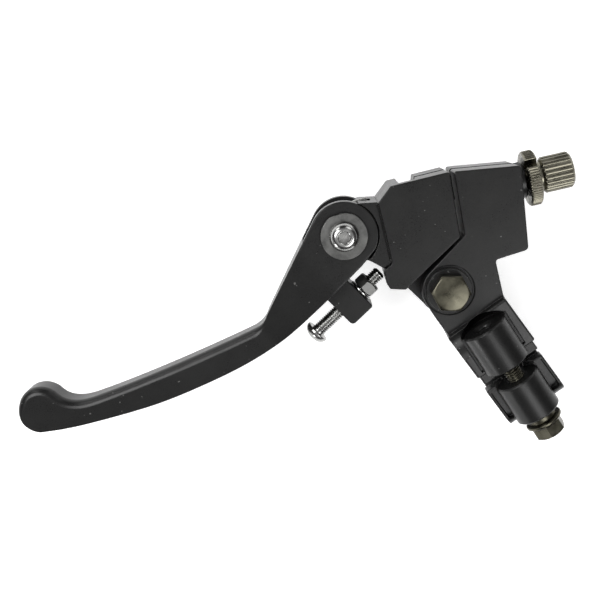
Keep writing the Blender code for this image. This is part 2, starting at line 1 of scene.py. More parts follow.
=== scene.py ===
"""The looks of a folding clutch lever with its perch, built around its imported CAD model.

The pieces repeat the CAD model's dimensions and add what a casting or a turned part has:
rounded rims, chamfers, threads, flutes, knurls and a surface finish. The origin is the
centre of the handlebar bore, +X runs along the handlebar towards the cable adjuster, +Y to
the lever, +Z along the pivot bolt. Lengths are in millimetres until a mesh is made.
"""
import math

import bmesh
import bpy
from mathutils import Matrix, Vector, noise


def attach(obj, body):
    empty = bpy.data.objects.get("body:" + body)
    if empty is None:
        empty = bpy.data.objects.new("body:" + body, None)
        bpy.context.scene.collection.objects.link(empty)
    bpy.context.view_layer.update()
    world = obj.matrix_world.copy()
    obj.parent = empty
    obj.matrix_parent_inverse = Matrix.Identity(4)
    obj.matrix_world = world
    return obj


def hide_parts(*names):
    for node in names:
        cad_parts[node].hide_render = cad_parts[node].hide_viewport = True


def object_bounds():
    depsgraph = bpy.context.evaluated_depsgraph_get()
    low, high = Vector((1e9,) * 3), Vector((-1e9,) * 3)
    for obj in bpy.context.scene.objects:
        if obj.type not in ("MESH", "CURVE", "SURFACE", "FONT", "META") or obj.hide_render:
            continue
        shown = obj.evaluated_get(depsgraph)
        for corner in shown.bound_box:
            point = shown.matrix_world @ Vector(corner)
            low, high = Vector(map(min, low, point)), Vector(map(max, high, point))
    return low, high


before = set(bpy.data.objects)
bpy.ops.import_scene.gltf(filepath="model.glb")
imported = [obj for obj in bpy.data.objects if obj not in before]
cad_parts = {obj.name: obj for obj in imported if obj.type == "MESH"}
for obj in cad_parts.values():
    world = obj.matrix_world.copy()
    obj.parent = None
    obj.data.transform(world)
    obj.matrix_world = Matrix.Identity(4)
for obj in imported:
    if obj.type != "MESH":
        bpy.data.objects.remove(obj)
CAD_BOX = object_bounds()
MM = 0.001

# Fits: between two faces, and between a shaft and its bore
GAP, RUN = 0.3, 0.3
# A thread's depth, as a share of its pitch
THREAD_DEPTH = 0.55
# How far from the middle plane a tool starts or ends that has to be clear of every face
BEYOND = 20.0

# Handlebar clamp
BAR_RADIUS = 11.1
CLAMP_LEFT, CLAMP_RIGHT = -11.8, 12.3
CLAMP_TOP = 22.6
CLAMP_HALF_DEPTH, CLAMP_DRAFT = 15.6, 0.9
LIP_LEFT, LIP_RIGHT = -11.0, 11.3
LIP_TOP, LIP_BOTTOM = 3.8, 0.5
LIP_HALF_DEPTH = 14.4
CAP_LEFT, CAP_RIGHT = -12.2, 11.0
CAP_TOP, CAP_BOTTOM = -1.3, -17.6
CAP_HALF_DEPTH = 16.0
BOLT_X, BOLT_Z = -0.5, 16.5
BOLT_LEAN = 0.055
BOSS_RADIUS = 8.15
UPPER_BOSS_TOP, UPPER_BOSS_BOTTOM = 19.0, 3.0
CAP_BOSS_TOP, CAP_BOSS_BOTTOM = -2.8, -17.8
GROOVE_WIDTH, GROOVE_DEPTH = 1.0, 1.9
M6_RADIUS, M6_HEX, M6_PITCH = 3.0, 10.0, 1.0
CLAMP_BOLT_TIP = 15.0
CLAMP_HEX_TURN = math.radians(12)
SIDES = ((1, "front"), (-1, "rear"))

# Perch and lever pivot
PIVOT = (-1.5, 35.6)
BODY_HALF_DEPTH = 12.5
PIVOT_CHEEK_RADIUS = 9.4
SPOT_FACE_RADIUS, SPOT_FACE_DEPTH = 8.7, 0.4
TANG_HALF_DEPTH, TANG_SLOT_HALF_DEPTH = 4.9, 5.3
TANG_RADIUS, TANG_SLOT_RADIUS = 10.2, 11.4
M8_RADIUS, M8_HEX, M8_PITCH = 4.0, 12.0, 1.25
BUSH_RADIUS = 6.0

# Cable line: from the nipple pocket out through the adjuster
NIPPLE = (2.25, 67.1)
CABLE_ANGLE = math.radians(-23.7)
NIPPLE_POCKET_RADIUS = 3.6
NIPPLE_FRONT_WALL = 4.5
NOTCH_HALF_WIDTH, NOTCH_ANGLE = 2.95, math.radians(48)
CABLE_SLOT_HALF_WIDTH = 1.45
PAD_RADIUS, PAD_START, PAD_END = 6.5, 37.0, 43.6
ADJUSTER_BORE_START = 26.0
RING_START, RING_END, RING_RADIUS = 43.95, 48.2, 9.8
RING_SLOT_WIDTH, RING_SLOT_ANGLE = 3.1, math.radians(38.7)
BARREL_START, BARREL_END, BARREL_RADIUS = 49.6, 60.4, 6.4
SHANK_START = 28.5
CABLE_BORE_RADIUS, FERRULE_BORE_RADIUS, FERRULE_DEPTH = 1.5, 3.5, 6.0
M8_FINE_PITCH = 1.0

# Fold pivot
FOLD = (-19.6, 72.7)
EAR_RADIUS = 12.0
FORK_HALF_DEPTH, FORK_SLOT_HALF_DEPTH = 11.0, 6.7
FORK_SLOT_FLOOR = -33.2
TONGUE_RADIUS, TONGUE_HALF_DEPTH = 10.5, 6.4
SPRING_SLOT_HALF_DEPTH, SPRING_SLOT_RADIUS = 3.1, 8.6
SLEEVE_RADIUS = 4.6
FOLD_WASHER_RADIUS, FOLD_WASHER_THICKNESS = 8.25, 1.2
BUTTON_RADIUS, BUTTON_HEIGHT = 5.25, 3.3
SPRING_WIRE, SPRING_RADIUS, SPRING_TURNS = 1.4, 6.4, 2.25

# Blade
BLADE_HALF_DEPTH = 6.2
NECK_BEND_X, BLADE_ROOT_X = -34.8, -64.0
BALL_CENTRE, BALL_RADIUS = (-148.5, 87.2), 8.6
LOWER_RIM_RADIUS, NECK_RIM_RADIUS, CROWN_RADIUS = 0.55, 0.35, 3.0
CROWN_START_X, CROWN_FULL_X, BALL_START_X = -60.5, -67.0, -141.0

# Reach screw: its axis starts at the tip and runs towards the head
SCREW_TIP = (-17.75, 53.2)
SCREW_ANGLE = math.radians(187.7)
M5_RADIUS, M5_PITCH = 2.5, 0.8
TAB_HALF_DEPTH = 5.0
TAB_START, TAB_END = 10.0, 20.2
NUT_START, NUT_END, M5_HEX = 4.7, 8.9, 8.0
REACH_WASHER_START, REACH_WASHER_END = 9.15, 9.75
SCREW_HEAD_START, SCREW_HEAD_END, SCREW_HEAD_RADIUS = 31.3, 34.6, 4.5

SMOOTH_ANGLE = math.radians(32)
UP, DOWN = (0, 0, 1), (0, 0, -1)


# ---- materials

def new_material(name):
    """A material with its node tree, its shader and its object coordinates."""
    mat = bpy.data.materials.new(name)
    mat.use_nodes = True
    tree = mat.node_tree
    coords = tree.nodes.new("ShaderNodeTexCoord").outputs["Object"]
    return mat, tree, tree.nodes["Principled BSDF"], coords


def noise_node(tree, coords, scale, detail=3.0, roughness=0.5):
    node = tree.nodes.new("ShaderNodeTexNoise")
    node.inputs["Scale"].default_value = scale
    node.inputs["Detail"].default_value = detail
    node.inputs["Roughness"].default_value = roughness
    tree.links.new(coords, node.inputs["Vector"])
    return node.outputs["Fac"]


def ramp_node(tree, source, stops):
    node = tree.nodes.new("ShaderNodeValToRGB")
    ramp = node.color_ramp
    while len(ramp.elements) < len(stops):
        ramp.elements.new(0.5)
    for element, (position, colour) in zip(ramp.elements, stops):
        element.position = position
        element.color = (*colour, 1.0)
    tree.links.new(source, node.inputs["Fac"])
    return node.outputs["Color"]


def range_node(tree, source, from_low, from_high, to_low, to_high):
    node = tree.nodes.new("ShaderNodeMapRange")
    values = (from_low, from_high, to_low, to_high)
    for socket, value in zip(("From Min", "From Max", "To Min", "To Max"), values):
        node.inputs[socket].default_value = value
    tree.links.new(source, node.inputs["Value"])
    return node.outputs["Result"]


def math_node(tree, operation, first, second):
    node = tree.nodes.new("ShaderNodeMath")
    node.operation = operation
    for socket, value in zip(node.inputs, (first, second)):
        if isinstance(value, (int, float)):
            socket.default_value = value
        else:
            tree.links.new(value, socket)
    return node.outputs["Value"]


def mix_colour(tree, factor, first, second):
    node = tree.nodes.new("ShaderNodeMix")
    node.data_type = "RGBA"
    tree.links.new(factor, node.inputs["Factor"])
    first_colour, second_colour, mixed_colour = node.inputs[6], node.inputs[7], node.outputs[2]
    for socket, value in ((first_colour, first), (second_colour, second)):
        if isinstance(value, tuple):
            socket.default_value = (*value, 1.0)
        else:
            tree.links.new(value, socket)
    return mixed_colour


def edge_mask(tree, radius):
    """1 on a convex or concave edge, falling to 0 a radius away, and the rounded edge's normal."""
    bevel = tree.nodes.new("ShaderNodeBevel")
    bevel.samples = 6
    bevel.inputs["Radius"].default_value = radius * MM
    geometry = tree.nodes.new("ShaderNodeNewGeometry")
    dot = tree.nodes.new("ShaderNodeVectorMath")
    dot.operation = "DOT_PRODUCT"
    tree.links.new(bevel.outputs["Normal"], dot.inputs[0])
    tree.links.new(geometry.outputs["Normal"], dot.inputs[1])
    mask = range_node(tree, dot.outputs["Value"], 0.985, 0.90, 0.0, 1.0)
    return mask, bevel.outputs["Normal"]


def bump_node(tree, height, strength, distance, normal):
    node = tree.nodes.new("ShaderNodeBump")
    node.inputs["Strength"].default_value = strength
    node.inputs["Distance"].default_value = distance * MM
    tree.links.new(height, node.inputs["Height"])
    tree.links.new(normal, node.inputs["Normal"])
    return node.outputs["Normal"]


def black_finish(name, dark, light, edge, rough_low, rough_high, grain):
    """Satin black on cast aluminium: fine grain, cloudy tone, specks, and edges painted paler, partly as
    rubbed paint and partly as a painted edge highlight.
    """
    mat, tree, shader, coords = new_material(name)
    cloud = noise_node(tree, coords, 90.0, 4.0, 0.6)
    grains = noise_node(tree, coords, 2600.0, 2.0, 0.6)
    tone = math_node(tree, "ADD", math_node(tree, "MULTIPLY", grains, 0.6),
                     math_node(tree, "MULTIPLY", cloud, 0.4))
    colour = ramp_node(tree, tone, [(0.38, dark), (0.62, light)])
    speck = noise_node(tree, coords, 700.0, 1.0, 0.4)
    speck = range_node(tree, speck, 0.76, 0.80, 0.0, 0.55)
    colour = mix_colour(tree, speck, colour, (0.16, 0.16, 0.155))
    # Every edge, concave ones too, is tinted towards the paler edge colour where the patch noise lets it:
    # partly rubbed paint, partly a painted edge highlight.
    edges, rounded_normal = edge_mask(tree, 0.35)
    patches = range_node(tree, noise_node(tree, coords, 420.0), 0.42, 0.6, 0.1, 0.75)
    rubbed_and_highlit_edges = math_node(tree, "MULTIPLY", edges, patches)
    colour = mix_colour(tree, rubbed_and_highlit_edges, colour, edge)
    tree.links.new(colour, shader.inputs["Base Color"])
    gloss = range_node(tree, tone, 0.35, 0.65, rough_low, rough_high)
    tree.links.new(gloss, shader.inputs["Roughness"])
    shader.inputs["Specular IOR Level"].default_value = 0.27
    bumps = bump_node(tree, grains, grain, 0.05, rounded_normal)
    bumps = bump_node(tree, noise_node(tree, coords, 500.0, 2.0), grain * 0.6, 0.05, bumps)
    tree.links.new(bumps, shader.inputs["Normal"])
    return mat


def metal_finish(name, dark, light, rough_low, rough_high, grain):
    """A plated or bare metal: cloudy tint, uneven gloss, fine scratches, and a paler tint on every edge,
    partly worn plating and partly a painted edge highlight.
    """
    mat, tree, shader, coords = new_material(name)
    shader.inputs["Metallic"].default_value = 1.0
    cloud = noise_node(tree, coords, 260.0, 5.0, 0.62)
    colour = ramp_node(tree, cloud, [(0.36, dark), (0.64, light)])
    # Half-way towards a paler tint on every edge, concave ones too: partly worn plating, partly a painted
    # edge highlight.
    edges, rounded_normal = edge_mask(tree, 0.25)
    plating_wear_and_edge_highlight = math_node(tree, "MULTIPLY", edges, 0.5)
    worn_and_highlit_edge_tint = tuple(min(1.0, 1.35 * c + 0.04) for c in light)
    tree.links.new(mix_colour(tree, plating_wear_and_edge_highlight, colour, worn_and_highlit_edge_tint), shader.inputs["Base Color"])
    fine = noise_node(tree, coords, 1900.0, 3.0, 0.6)
    gloss = range_node(tree, cloud, 0.35, 0.65, rough_low, rough_high)
    tree.links.new(gloss, shader.inputs["Roughness"])
    tree.links.new(bump_node(tree, fine, grain, 0.03, rounded_normal), shader.inputs["Normal"])
    return mat


# The third colour is the paler edge tint: partly rubbed paint, partly a painted edge highlight.
BLACK = black_finish("satin_black", (0.0062, 0.0062, 0.0062), (0.0098, 0.0098, 0.0096),
                     (0.06, 0.06, 0.058), 0.27, 0.38, 0.16)
GUNMETAL = metal_finish("gunmetal_plate", (0.058, 0.055, 0.041), (0.092, 0.087, 0.066), 0.26, 0.38, 0.25)
PALE_GUNMETAL = metal_finish("pale_gunmetal_plate", (0.115, 0.109, 0.085), (0.19, 0.18, 0.142),
                             0.22, 0.34, 0.25)
ZINC = metal_finish("bright_zinc", (0.27, 0.27, 0.265), (0.42, 0.42, 0.41), 0.17, 0.28, 0.15)
DULL_ZINC = metal_finish("dull_zinc", (0.08, 0.08, 0.078), (0.14, 0.14, 0.137), 0.34, 0.46, 0.2)
STEEL = metal_finish("grey_steel", (0.085, 0.085, 0.083), (0.14, 0.14, 0.136), 0.38, 0.52, 0.35)
BRONZE = metal_finish("bearing_bronze", (0.36, 0.23, 0.10), (0.48, 0.32, 0.15), 0.32, 0.45, 0.2)
SPRING_STEEL = metal_finish("spring_steel", (0.32, 0.32, 0.31), (0.46, 0.46, 0.45), 0.24, 0.36, 0.15)


# ---- outlines

def arc(centre, radius, start, end, steps=10):
    """Points along an arc, angles in degrees."""
    points = []
    for i in range(steps + 1):
        angle = math.radians(start + (end - start) * i / steps)
        points.append((centre[0] + radius * math.cos(angle), centre[1] + radius * math.sin(angle)))
    return points


def rounded(corners, steps=6):
    """A closed outline through (x, y, radius) corners, each rounded to its radius."""
    outline = []
    for i, (x, y, radius) in enumerate(corners):
        here = Vector((x, y))
        if radius == 0:
            outline.append((x, y))
            continue
        before = (Vector(corners[i - 1][:2]) - here).normalized()
        after = (Vector(corners[(i + 1) % len(corners)][:2]) - here).normalized()
        half = before.angle(after) / 2
        reach = radius / math.tan(half)
        centre = here + (before + after).normalized() * radius / math.sin(half)
        first = here + before * reach - centre
        turn = first.angle_signed(here + after * reach - centre)
        for k in range(steps + 1):
            outline.append(tuple(centre + Matrix.Rotation(-turn * k / steps, 2) @ first))
    return outline


def sharp(points):
    return [(x, y, 0) for x, y in points]


def flowing(points, spacing):
    """A smooth line through points, as closely spaced as asked, with no overshoot."""
    line = [Vector(p) for p in points]
    ends = [line[0] * 2 - line[1], *line, line[-1] * 2 - line[-2]]
    out = []
    for a, b, c, d in zip(ends, ends[1:], ends[2:], ends[3:]):
        span = (c - b).length
        tangent_b = (c - a) * span / ((b - a).length + span)
        tangent_c = (d - b) * span / ((d - c).length + span)
        steps = max(1, round(span / spacing))
        for k in range(steps):
            t = k / steps
            out.append(tuple(b * (2 * t**3 - 3 * t**2 + 1) + tangent_b * (t**3 - 2 * t**2 + t)
                             + c * (3 * t**2 - 2 * t**3) + tangent_c * (t**3 - t**2)))
    out.append(tuple(line[-1]))
    return out


def along(start, angle, distance, offset):
    """The point at a distance along a line and an offset to its left."""
    cos_a, sin_a = math.cos(angle), math.sin(angle)
    return (start[0] + distance * cos_a - offset * sin_a, start[1] + distance * sin_a + offset * cos_a)


def along_cable(distance, offset=0.0):
    """The point at a distance along the cable line and an offset up from it."""
    return along(NIPPLE, CABLE_ANGLE, distance, offset)


def along_screw(distance, offset=0.0):
    """The point at a distance from the reach screw's tip and an offset down from its axis."""
    return along(SCREW_TIP, SCREW_ANGLE, distance, offset)


def at(point, z):
    return (point[0], point[1], z)


def on_cable(distance):
    return at(along_cable(distance), 0)


def on_screw(distance):
    return at(along_screw(distance), 0)


def on_bolt(height, side, outward=0.0):
    """A point on a clamp bolt's axis at a height above the bar."""
    return (BOLT_X + BOLT_LEAN * height, height, side * (BOLT_Z + outward))


# ---- solids

def add_object(name, data):
    made = bpy.data.objects.new(name, data)
    bpy.context.scene.collection.objects.link(made)
    return made


def new_solid(name, verts, faces, mat):
    """A closed mesh object from points in millimetres."""
    mesh = bpy.data.meshes.new(name)
    mesh.from_pydata([Vector(v) * MM for v in verts], [], faces)
    bm = bmesh.new()
    bm.from_mesh(mesh)
    bmesh.ops.remove_doubles(bm, verts=bm.verts, dist=0.0000005)
    bmesh.ops.recalc_face_normals(bm, faces=bm.faces)
    bm.to_mesh(mesh)
    bm.free()
    mesh.materials.append(mat)
    return add_object(name, mesh)


def rings_to_faces(rings, around, closed):
    faces = []
    pairs = range(rings if closed else rings - 1)
    for j in pairs:
        low, high = j * around, (j + 1) % rings * around
        for i in range(around):
            following = (i + 1) % around
            faces.append((low + i, low + following, high + following, high + i))
    return faces


def insets_of(points):
    """How each corner of a counterclockwise outline moves as its sides move in by 1."""
    insets = []
    for i, here in enumerate(points):
        before = (here - points[i - 1]).normalized()
        after = (points[(i + 1) % len(points)] - here).normalized()
        first, second = Vector((-before.y, before.x)), Vector((-after.y, after.x))
        insets.append((first + second) / max(0.35, 1 + first.dot(second)))
    return insets


def soft_prism(name, outline, end, other_end, radius=0.0, along_bar=False):
    """An outline extruded between two heights, or along the bar, with both rims rounded if asked."""
    low, high = sorted((end, other_end))
    points = [Vector(p) for p in outline]
    area = sum(a.x * b.y - a.y * b.x for a, b in zip(points, points[1:] + points[:1]))
    turn = 1 if area > 0 else -1
    insets = [inset * turn for inset in insets_of(points)]
    steps = 3 if radius > 0 else 1
    angles = [math.pi / 2 * k / steps for k in range(steps + 1)]
    layers = [(1 - math.cos(a), low + radius - radius * math.sin(a)) for a in reversed(angles)]
    layers += [(1 - math.cos(a), high - radius + radius * math.sin(a)) for a in angles]
    verts = []
    for share, height in layers:
        for p, inset in zip(points, insets):
            x, y = p + inset * radius * share
            verts.append((height, x, y) if along_bar else (x, y, height))
    count = len(points)
    faces = rings_to_faces(len(layers), count, False)
    faces.append(tuple(range(count)))
    faces.append(tuple(range((len(layers) - 1) * count, len(layers) * count)))
    return new_solid(name, verts, faces, BLACK)


def tapered_box(name, levels, wide_axis, thin_axis, mat):
    """A solid through rectangles, each a (centre, half width, half thickness)."""
    verts = []
    for centre, wide, thin in levels:
        for u, v in ((-1, -1), (1, -1), (1, 1), (-1, 1)):
            verts.append(centre + wide_axis * wide * u + thin_axis * thin * v)
    faces = rings_to_faces(len(levels), 4, False)
    faces += [(0, 1, 2, 3), tuple(range(len(verts) - 4, len(verts)))]
    return new_solid(name, verts, faces, mat)


def section_block(name, top, bottom, left, right, radius, steps=6):
    """A block along the bar; its top and bottom are each (height, half depth, corner radius)."""
    corners = [top, bottom, (bottom[0], -bottom[1], bottom[2]), (top[0], -top[1], top[2])]
    return soft_prism(name, rounded(corners, steps), left, right, radius, along_bar=True)


def lathe(name, profile, start, direction, mat, sides=48, shape=None):
    """A closed profile of (radius, distance) points turned about a direction from a start."""
    frame_of_axis = Vector(direction).to_track_quat("Z", "Y").to_matrix()
    verts = []
    for radius, distance in profile:
        for i in range(sides):
            angle = 2 * math.pi * i / sides
            reach = shape(angle, radius, distance) if shape else radius
            spoke = Vector((reach * math.cos(angle), reach * math.sin(angle), distance))
            verts.append(Vector(start) + frame_of_axis @ spoke)
    closed = profile[0][0] > 0
    return new_solid(name, verts, rings_to_faces(len(profile), sides, closed), mat)


def rod(name, radius, start, end, sides=48, chamfer=0.0):
    """A cylinder between two points, with both rims chamfered if asked."""
    axis = Vector(end) - Vector(start)
    length = axis.length
    profile = [(0, 0), (radius - chamfer, 0), (radius, chamfer), (radius, length - chamfer),
               (radius - chamfer, length), (0, length)]
    return lathe(name, profile, start, axis, BLACK, sides)


def drill(name, point, radius, sides=48):
    """A tool that cuts right through, along the pivots."""
    return rod(name, radius, at(point, -BEYOND), at(point, BEYOND), sides)


def flared(name, radius, start, end, flare):
    """A drill for a hole whose mouth, at the end, is chamfered; the end lies on the face."""
    axis = Vector(end) - Vector(start)
    length = axis.length
    profile = [(0, 0), (radius, 0), (radius, length - flare), (radius + 2 * flare, length + flare),
               (0, length + flare)]
    return lathe(name, profile, start, axis, BLACK)


def threaded(radius, pitch, low, high):
    """Profile points for a screw thread between two distances, and the shape that cuts it."""
    depth = THREAD_DEPTH * pitch
    steps = round((high - low) / pitch * 8)
    rings = [(radius, low + (high - low) * k / steps) for k in range(steps + 1)]

    def shape(angle, reach, distance):
        if reach < radius - 0.001 or not low <= distance <= high:
            return reach
        phase = (distance / pitch - angle / (2 * math.pi)) % 1.0
        groove = max(0.0, 1.0 - abs(2 * phase - 1) * 1.3)
        tip = min(1.0, (distance - low) / pitch, (high - distance) / pitch)
        return radius - depth * groove * max(0.0, tip)

    return rings, shape


def apply_modifiers(solid):
    bpy.context.view_layer.update()
    evaluated = solid.evaluated_get(bpy.context.evaluated_depsgraph_get())
    mesh = bpy.data.meshes.new_from_object(evaluated)
    solid.modifiers.clear()
    old = solid.data
    solid.data = mesh
    bpy.data.meshes.remove(old)


def boolean(solid, tools, operation):
    for tool in tools:
        step = solid.modifiers.new(tool.name, "BOOLEAN")
        step.operation = operation
        step.solver = "EXACT"
        step.object = tool
    apply_modifiers(solid)
    for tool in tools:
        bpy.data.objects.remove(tool)


def cut(solid, *tools):
    boolean(solid, tools, "DIFFERENCE")


def join(solid, *tools):
    boolean(solid, tools, "UNION")


def keep_within(solid, *tools):
    boolean(solid, tools, "INTERSECT")


def finish_piece(solid, body, slot, *nodes):
    """Shade a piece, let it ride on its body and stand for its CAD nodes."""
    solid.data.shade_smooth()
    solid.data.set_sharp_from_angle(angle=SMOOTH_ANGLE)
    weigh = solid.modifiers.new("weigh", "WEIGHTED_NORMAL")
    weigh.keep_sharp = True
    weigh.weight = 80
    apply_modifiers(solid)
    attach(solid, body)
    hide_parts(*nodes)


def tube_profile(outer, inner, top, bottom, chamfer=0.2):
    """A closed ring section with chamfered outer rims."""
    step = chamfer if top > bottom else -chamfer
    return [(inner, top), (outer - chamfer, top), (outer, top - step), (outer, bottom + step),
            (outer - chamfer, bottom), (inner, bottom)]


def hexagon(name, across_flats, start, end, turn, mat, both=False):
    """A hexagonal prism, its far corners chamfered by a cone, and its near ones too if asked."""
    axis = Vector(end) - Vector(start)
    length = axis.length
    corner = across_flats / math.sqrt(3)
    frame_of_axis = axis.to_track_quat("Z", "Y").to_matrix()
    verts = []
    for distance in (0.0, length):
        for i in range(6):
            angle = turn + math.pi / 3 * i + math.pi / 2
            spoke = Vector((corner * math.cos(angle), corner * math.sin(angle), distance))
            verts.append(Vector(start) + frame_of_axis @ spoke)
    faces = rings_to_faces(2, 6, False) + [tuple(range(6)), tuple(range(6, 12))]
    prism = new_solid(name, verts, faces, mat)
    face_radius, drop = across_flats / 2 * 0.92, 0.62
    reach = corner + 0.5
    slope = (reach - face_radius) * drop
    profile = [(0, length), (face_radius, length), (reach, length - slope)]
    if both:
        profile += [(reach, slope), (face_radius, 0), (0, 0)]
    else:
        profile += [(reach, 0), (0, 0)]
    keep_within(prism, lathe(name + "_cone", profile, start, axis, mat, 72))
    return prism


# ---- perch and clamp

def cable_slot(name):
    """The mid-plane slot that lets the cable lift out upwards, from the nipple to the adjuster."""
    depth_below, height_above, length = 1.5, 22.0, 47.0
    corners = [along_cable(0, -depth_below), along_cable(length, -depth_below),
               along_cable(length, height_above), along_cable(0, height_above)]
    return soft_prism(name, corners, -CABLE_SLOT_HALF_WIDTH, CABLE_SLOT_HALF_WIDTH)


def bar_bore(name, left, right):
    """A drill for the handlebar bore, flared at both mouths."""
    flare = 0.5
    profile = [(0, left - 2), (BAR_RADIUS + 2 + flare, left - 2), (BAR_RADIUS, left + flare),
               (BAR_RADIUS, right - flare), (BAR_RADIUS + 2 + flare, right + 2), (0, right + 2)]
    return lathe(name, profile, (0, 0, 0), (1, 0, 0), BLACK, 128)


def make_perch():
    left, right = -11.2, 12.4
    body_bottom = 14.0
    cheek = arc(PIVOT, PIVOT_CHEEK_RADIUS, 180, 102, 16)
    outline = rounded(
        sharp(reversed(cheek)) +
        [(left, 30.0, 0), (left, body_bottom, 0), (right, body_bottom, 0), (right, CLAMP_TOP, 5.0),
         (17.4, 34.7, 1.2), (28.6, 30.9, 1.6), (42.9, 56.3, 1.2), (23.5, 68.3, 0.8), (13.8, 48.1, 1.0)])
    perch = soft_prism("perch_casting", outline, -BODY_HALF_DEPTH, BODY_HALF_DEPTH, 0.45)

    join(perch, section_block("clamp_housing", (CLAMP_TOP, CLAMP_HALF_DEPTH, 1.0),
                              (LIP_TOP, CLAMP_HALF_DEPTH - CLAMP_DRAFT, 0.6), CLAMP_LEFT, CLAMP_RIGHT, 0.7))
    join(perch, section_block("clamp_lip", (LIP_TOP + 1, LIP_HALF_DEPTH, 0),
                              (LIP_BOTTOM, LIP_HALF_DEPTH, 0.5), LIP_LEFT, LIP_RIGHT, 0.4))
    join(perch, rod("adjuster_pad", PAD_RADIUS, on_cable(PAD_START), on_cable(PAD_END), 72, 0.5))
    rim = BOSS_RADIUS + GROOVE_WIDTH
    dome = [(0, -1.0), (rim, -1.0), (rim, 0.0), (rim - 0.3, 0.4), (7.6, 1.5), (5.4, 2.9), (3.1, 3.9),
            (0, 3.9)]
    groove_foot = LIP_TOP + 1.2
    scoop_radius, scoop_height, scoop_floor = 9.0, 17.2, 13.7
    for side, where in SIDES:
        up = Vector(on_bolt(1, side)) - Vector(on_bolt(0, side))
        cut(perch, lathe("pocket_" + where, dome, on_bolt(UPPER_BOSS_TOP, side), up, BLACK, 72))
        scoop_middle = side * (scoop_floor + scoop_radius)
        cut(perch, rod("scoop_" + where, scoop_radius, (CLAMP_LEFT - 2, scoop_height, scoop_middle),
                       (BOLT_X, scoop_height, scoop_middle), 120))
        corners = ((groove_foot, -1), (groove_foot, 1), (UPPER_BOSS_TOP, 1), (UPPER_BOSS_TOP, -1))
        groove = [(on_bolt(height, side)[0] + sign * rim, height) for height, sign in corners]
        cut(perch, soft_prism("groove_" + where, groove, side * (CLAMP_HALF_DEPTH - GROOVE_DEPTH),
                              side * BEYOND))
    for side, where in SIDES:
        join(perch, rod("upper_boss_" + where, BOSS_RADIUS, on_bolt(UPPER_BOSS_BOTTOM, side),
                        on_bolt(UPPER_BOSS_TOP, side), 72, 0.55))
    for side, where in SIDES:
        start = on_bolt(LIP_BOTTOM - 2, side)
        axis = Vector(on_bolt(UPPER_BOSS_TOP, side)) - Vector(start)
        length, bore, mouth = axis.length, M6_RADIUS + RUN, 0.9
        rings, thread = threaded(bore, M6_PITCH, 0, length - mouth)
        profile = [(0, 0)] + rings + [(bore + 2 * mouth, length + mouth), (0, length + mouth)]
        cut(perch, lathe("tapped_hole_" + where, profile, start, axis, BLACK, 32, thread))
        face = side * (BODY_HALF_DEPTH - SPOT_FACE_DEPTH)
        rim = SPOT_FACE_RADIUS
        profile = [(0, 0), (rim, 0), (rim, 0.15), (rim + 1, 1.15), (0, 1.15)]
        cut(perch, lathe("spot_face_" + where, profile, at(PIVOT, face), (0, 0, side), BLACK, 96))

    slot = arc(PIVOT, TANG_SLOT_RADIUS, 180, 360, 40)
    slot = slot + [(PIVOT[0] + TANG_SLOT_RADIUS, 50.0), (PIVOT[0] - TANG_SLOT_RADIUS, 50.0)]
    cut(perch, soft_prism("tang_slot", slot, -TANG_SLOT_HALF_DEPTH, TANG_SLOT_HALF_DEPTH))
    cut(perch, drill("pivot_bore", PIVOT, M8_RADIUS + RUN))
    cut(perch, cable_slot("perch_cable_slot"))
    cut(perch, flared("adjuster_bore", M8_RADIUS + RUN, on_cable(ADJUSTER_BORE_START),
                      on_cable(PAD_END), 0.4))
    cut(perch, bar_bore("bar_bore_upper", CLAMP_LEFT, CLAMP_RIGHT))
    finish_piece(perch, "perch", "perch", "perch_body")


def make_clamp_cap():
    cap = section_block("cap_casting", (CAP_TOP, CAP_HALF_DEPTH, 0.6), (CAP_BOTTOM, CAP_HALF_DEPTH, 5.0),
                        CAP_LEFT, CAP_RIGHT, 0.55, 10)
    wall, floor, relief_shift = 0.9, 12.5, 1.3
    panel = rounded([(CAP_LEFT + wall, CAP_BOTTOM + 2.6, 1.2), (CAP_RIGHT - wall, CAP_BOTTOM + 2.6, 1.2),
                     (CAP_RIGHT - wall, CAP_TOP - 1.1, 0.8), (CAP_LEFT + wall, CAP_TOP - 1.1, 0.8)])
    for side, where in SIDES:
        cut(cap, soft_prism("cap_panel_" + where, panel, side * floor, side * BEYOND, 0.3))
    for side, where in SIDES:
        join(cap, rod("cap_boss_" + where, BOSS_RADIUS, on_bolt(CAP_BOSS_BOTTOM, side),
                      on_bolt(CAP_BOSS_TOP, side), 72, 0.5))
        cut(cap, rod("cap_relief_" + where, BOSS_RADIUS, on_bolt(CAP_BOSS_TOP, side, relief_shift),
                     on_bolt(CAP_TOP + 2, side, relief_shift), 72))
    for side, where in SIDES:
        cut(cap, rod("cap_hole_" + where, M6_RADIUS + RUN,
                     on_bolt(CAP_BOSS_BOTTOM - 3, side), on_bolt(CAP_TOP + 3, side), 32))
    cut(cap, bar_bore("bar_bore_lower", CAP_LEFT, CAP_RIGHT))
    finish_piece(cap, "perch", "clamp_cap", "clamp_cap")


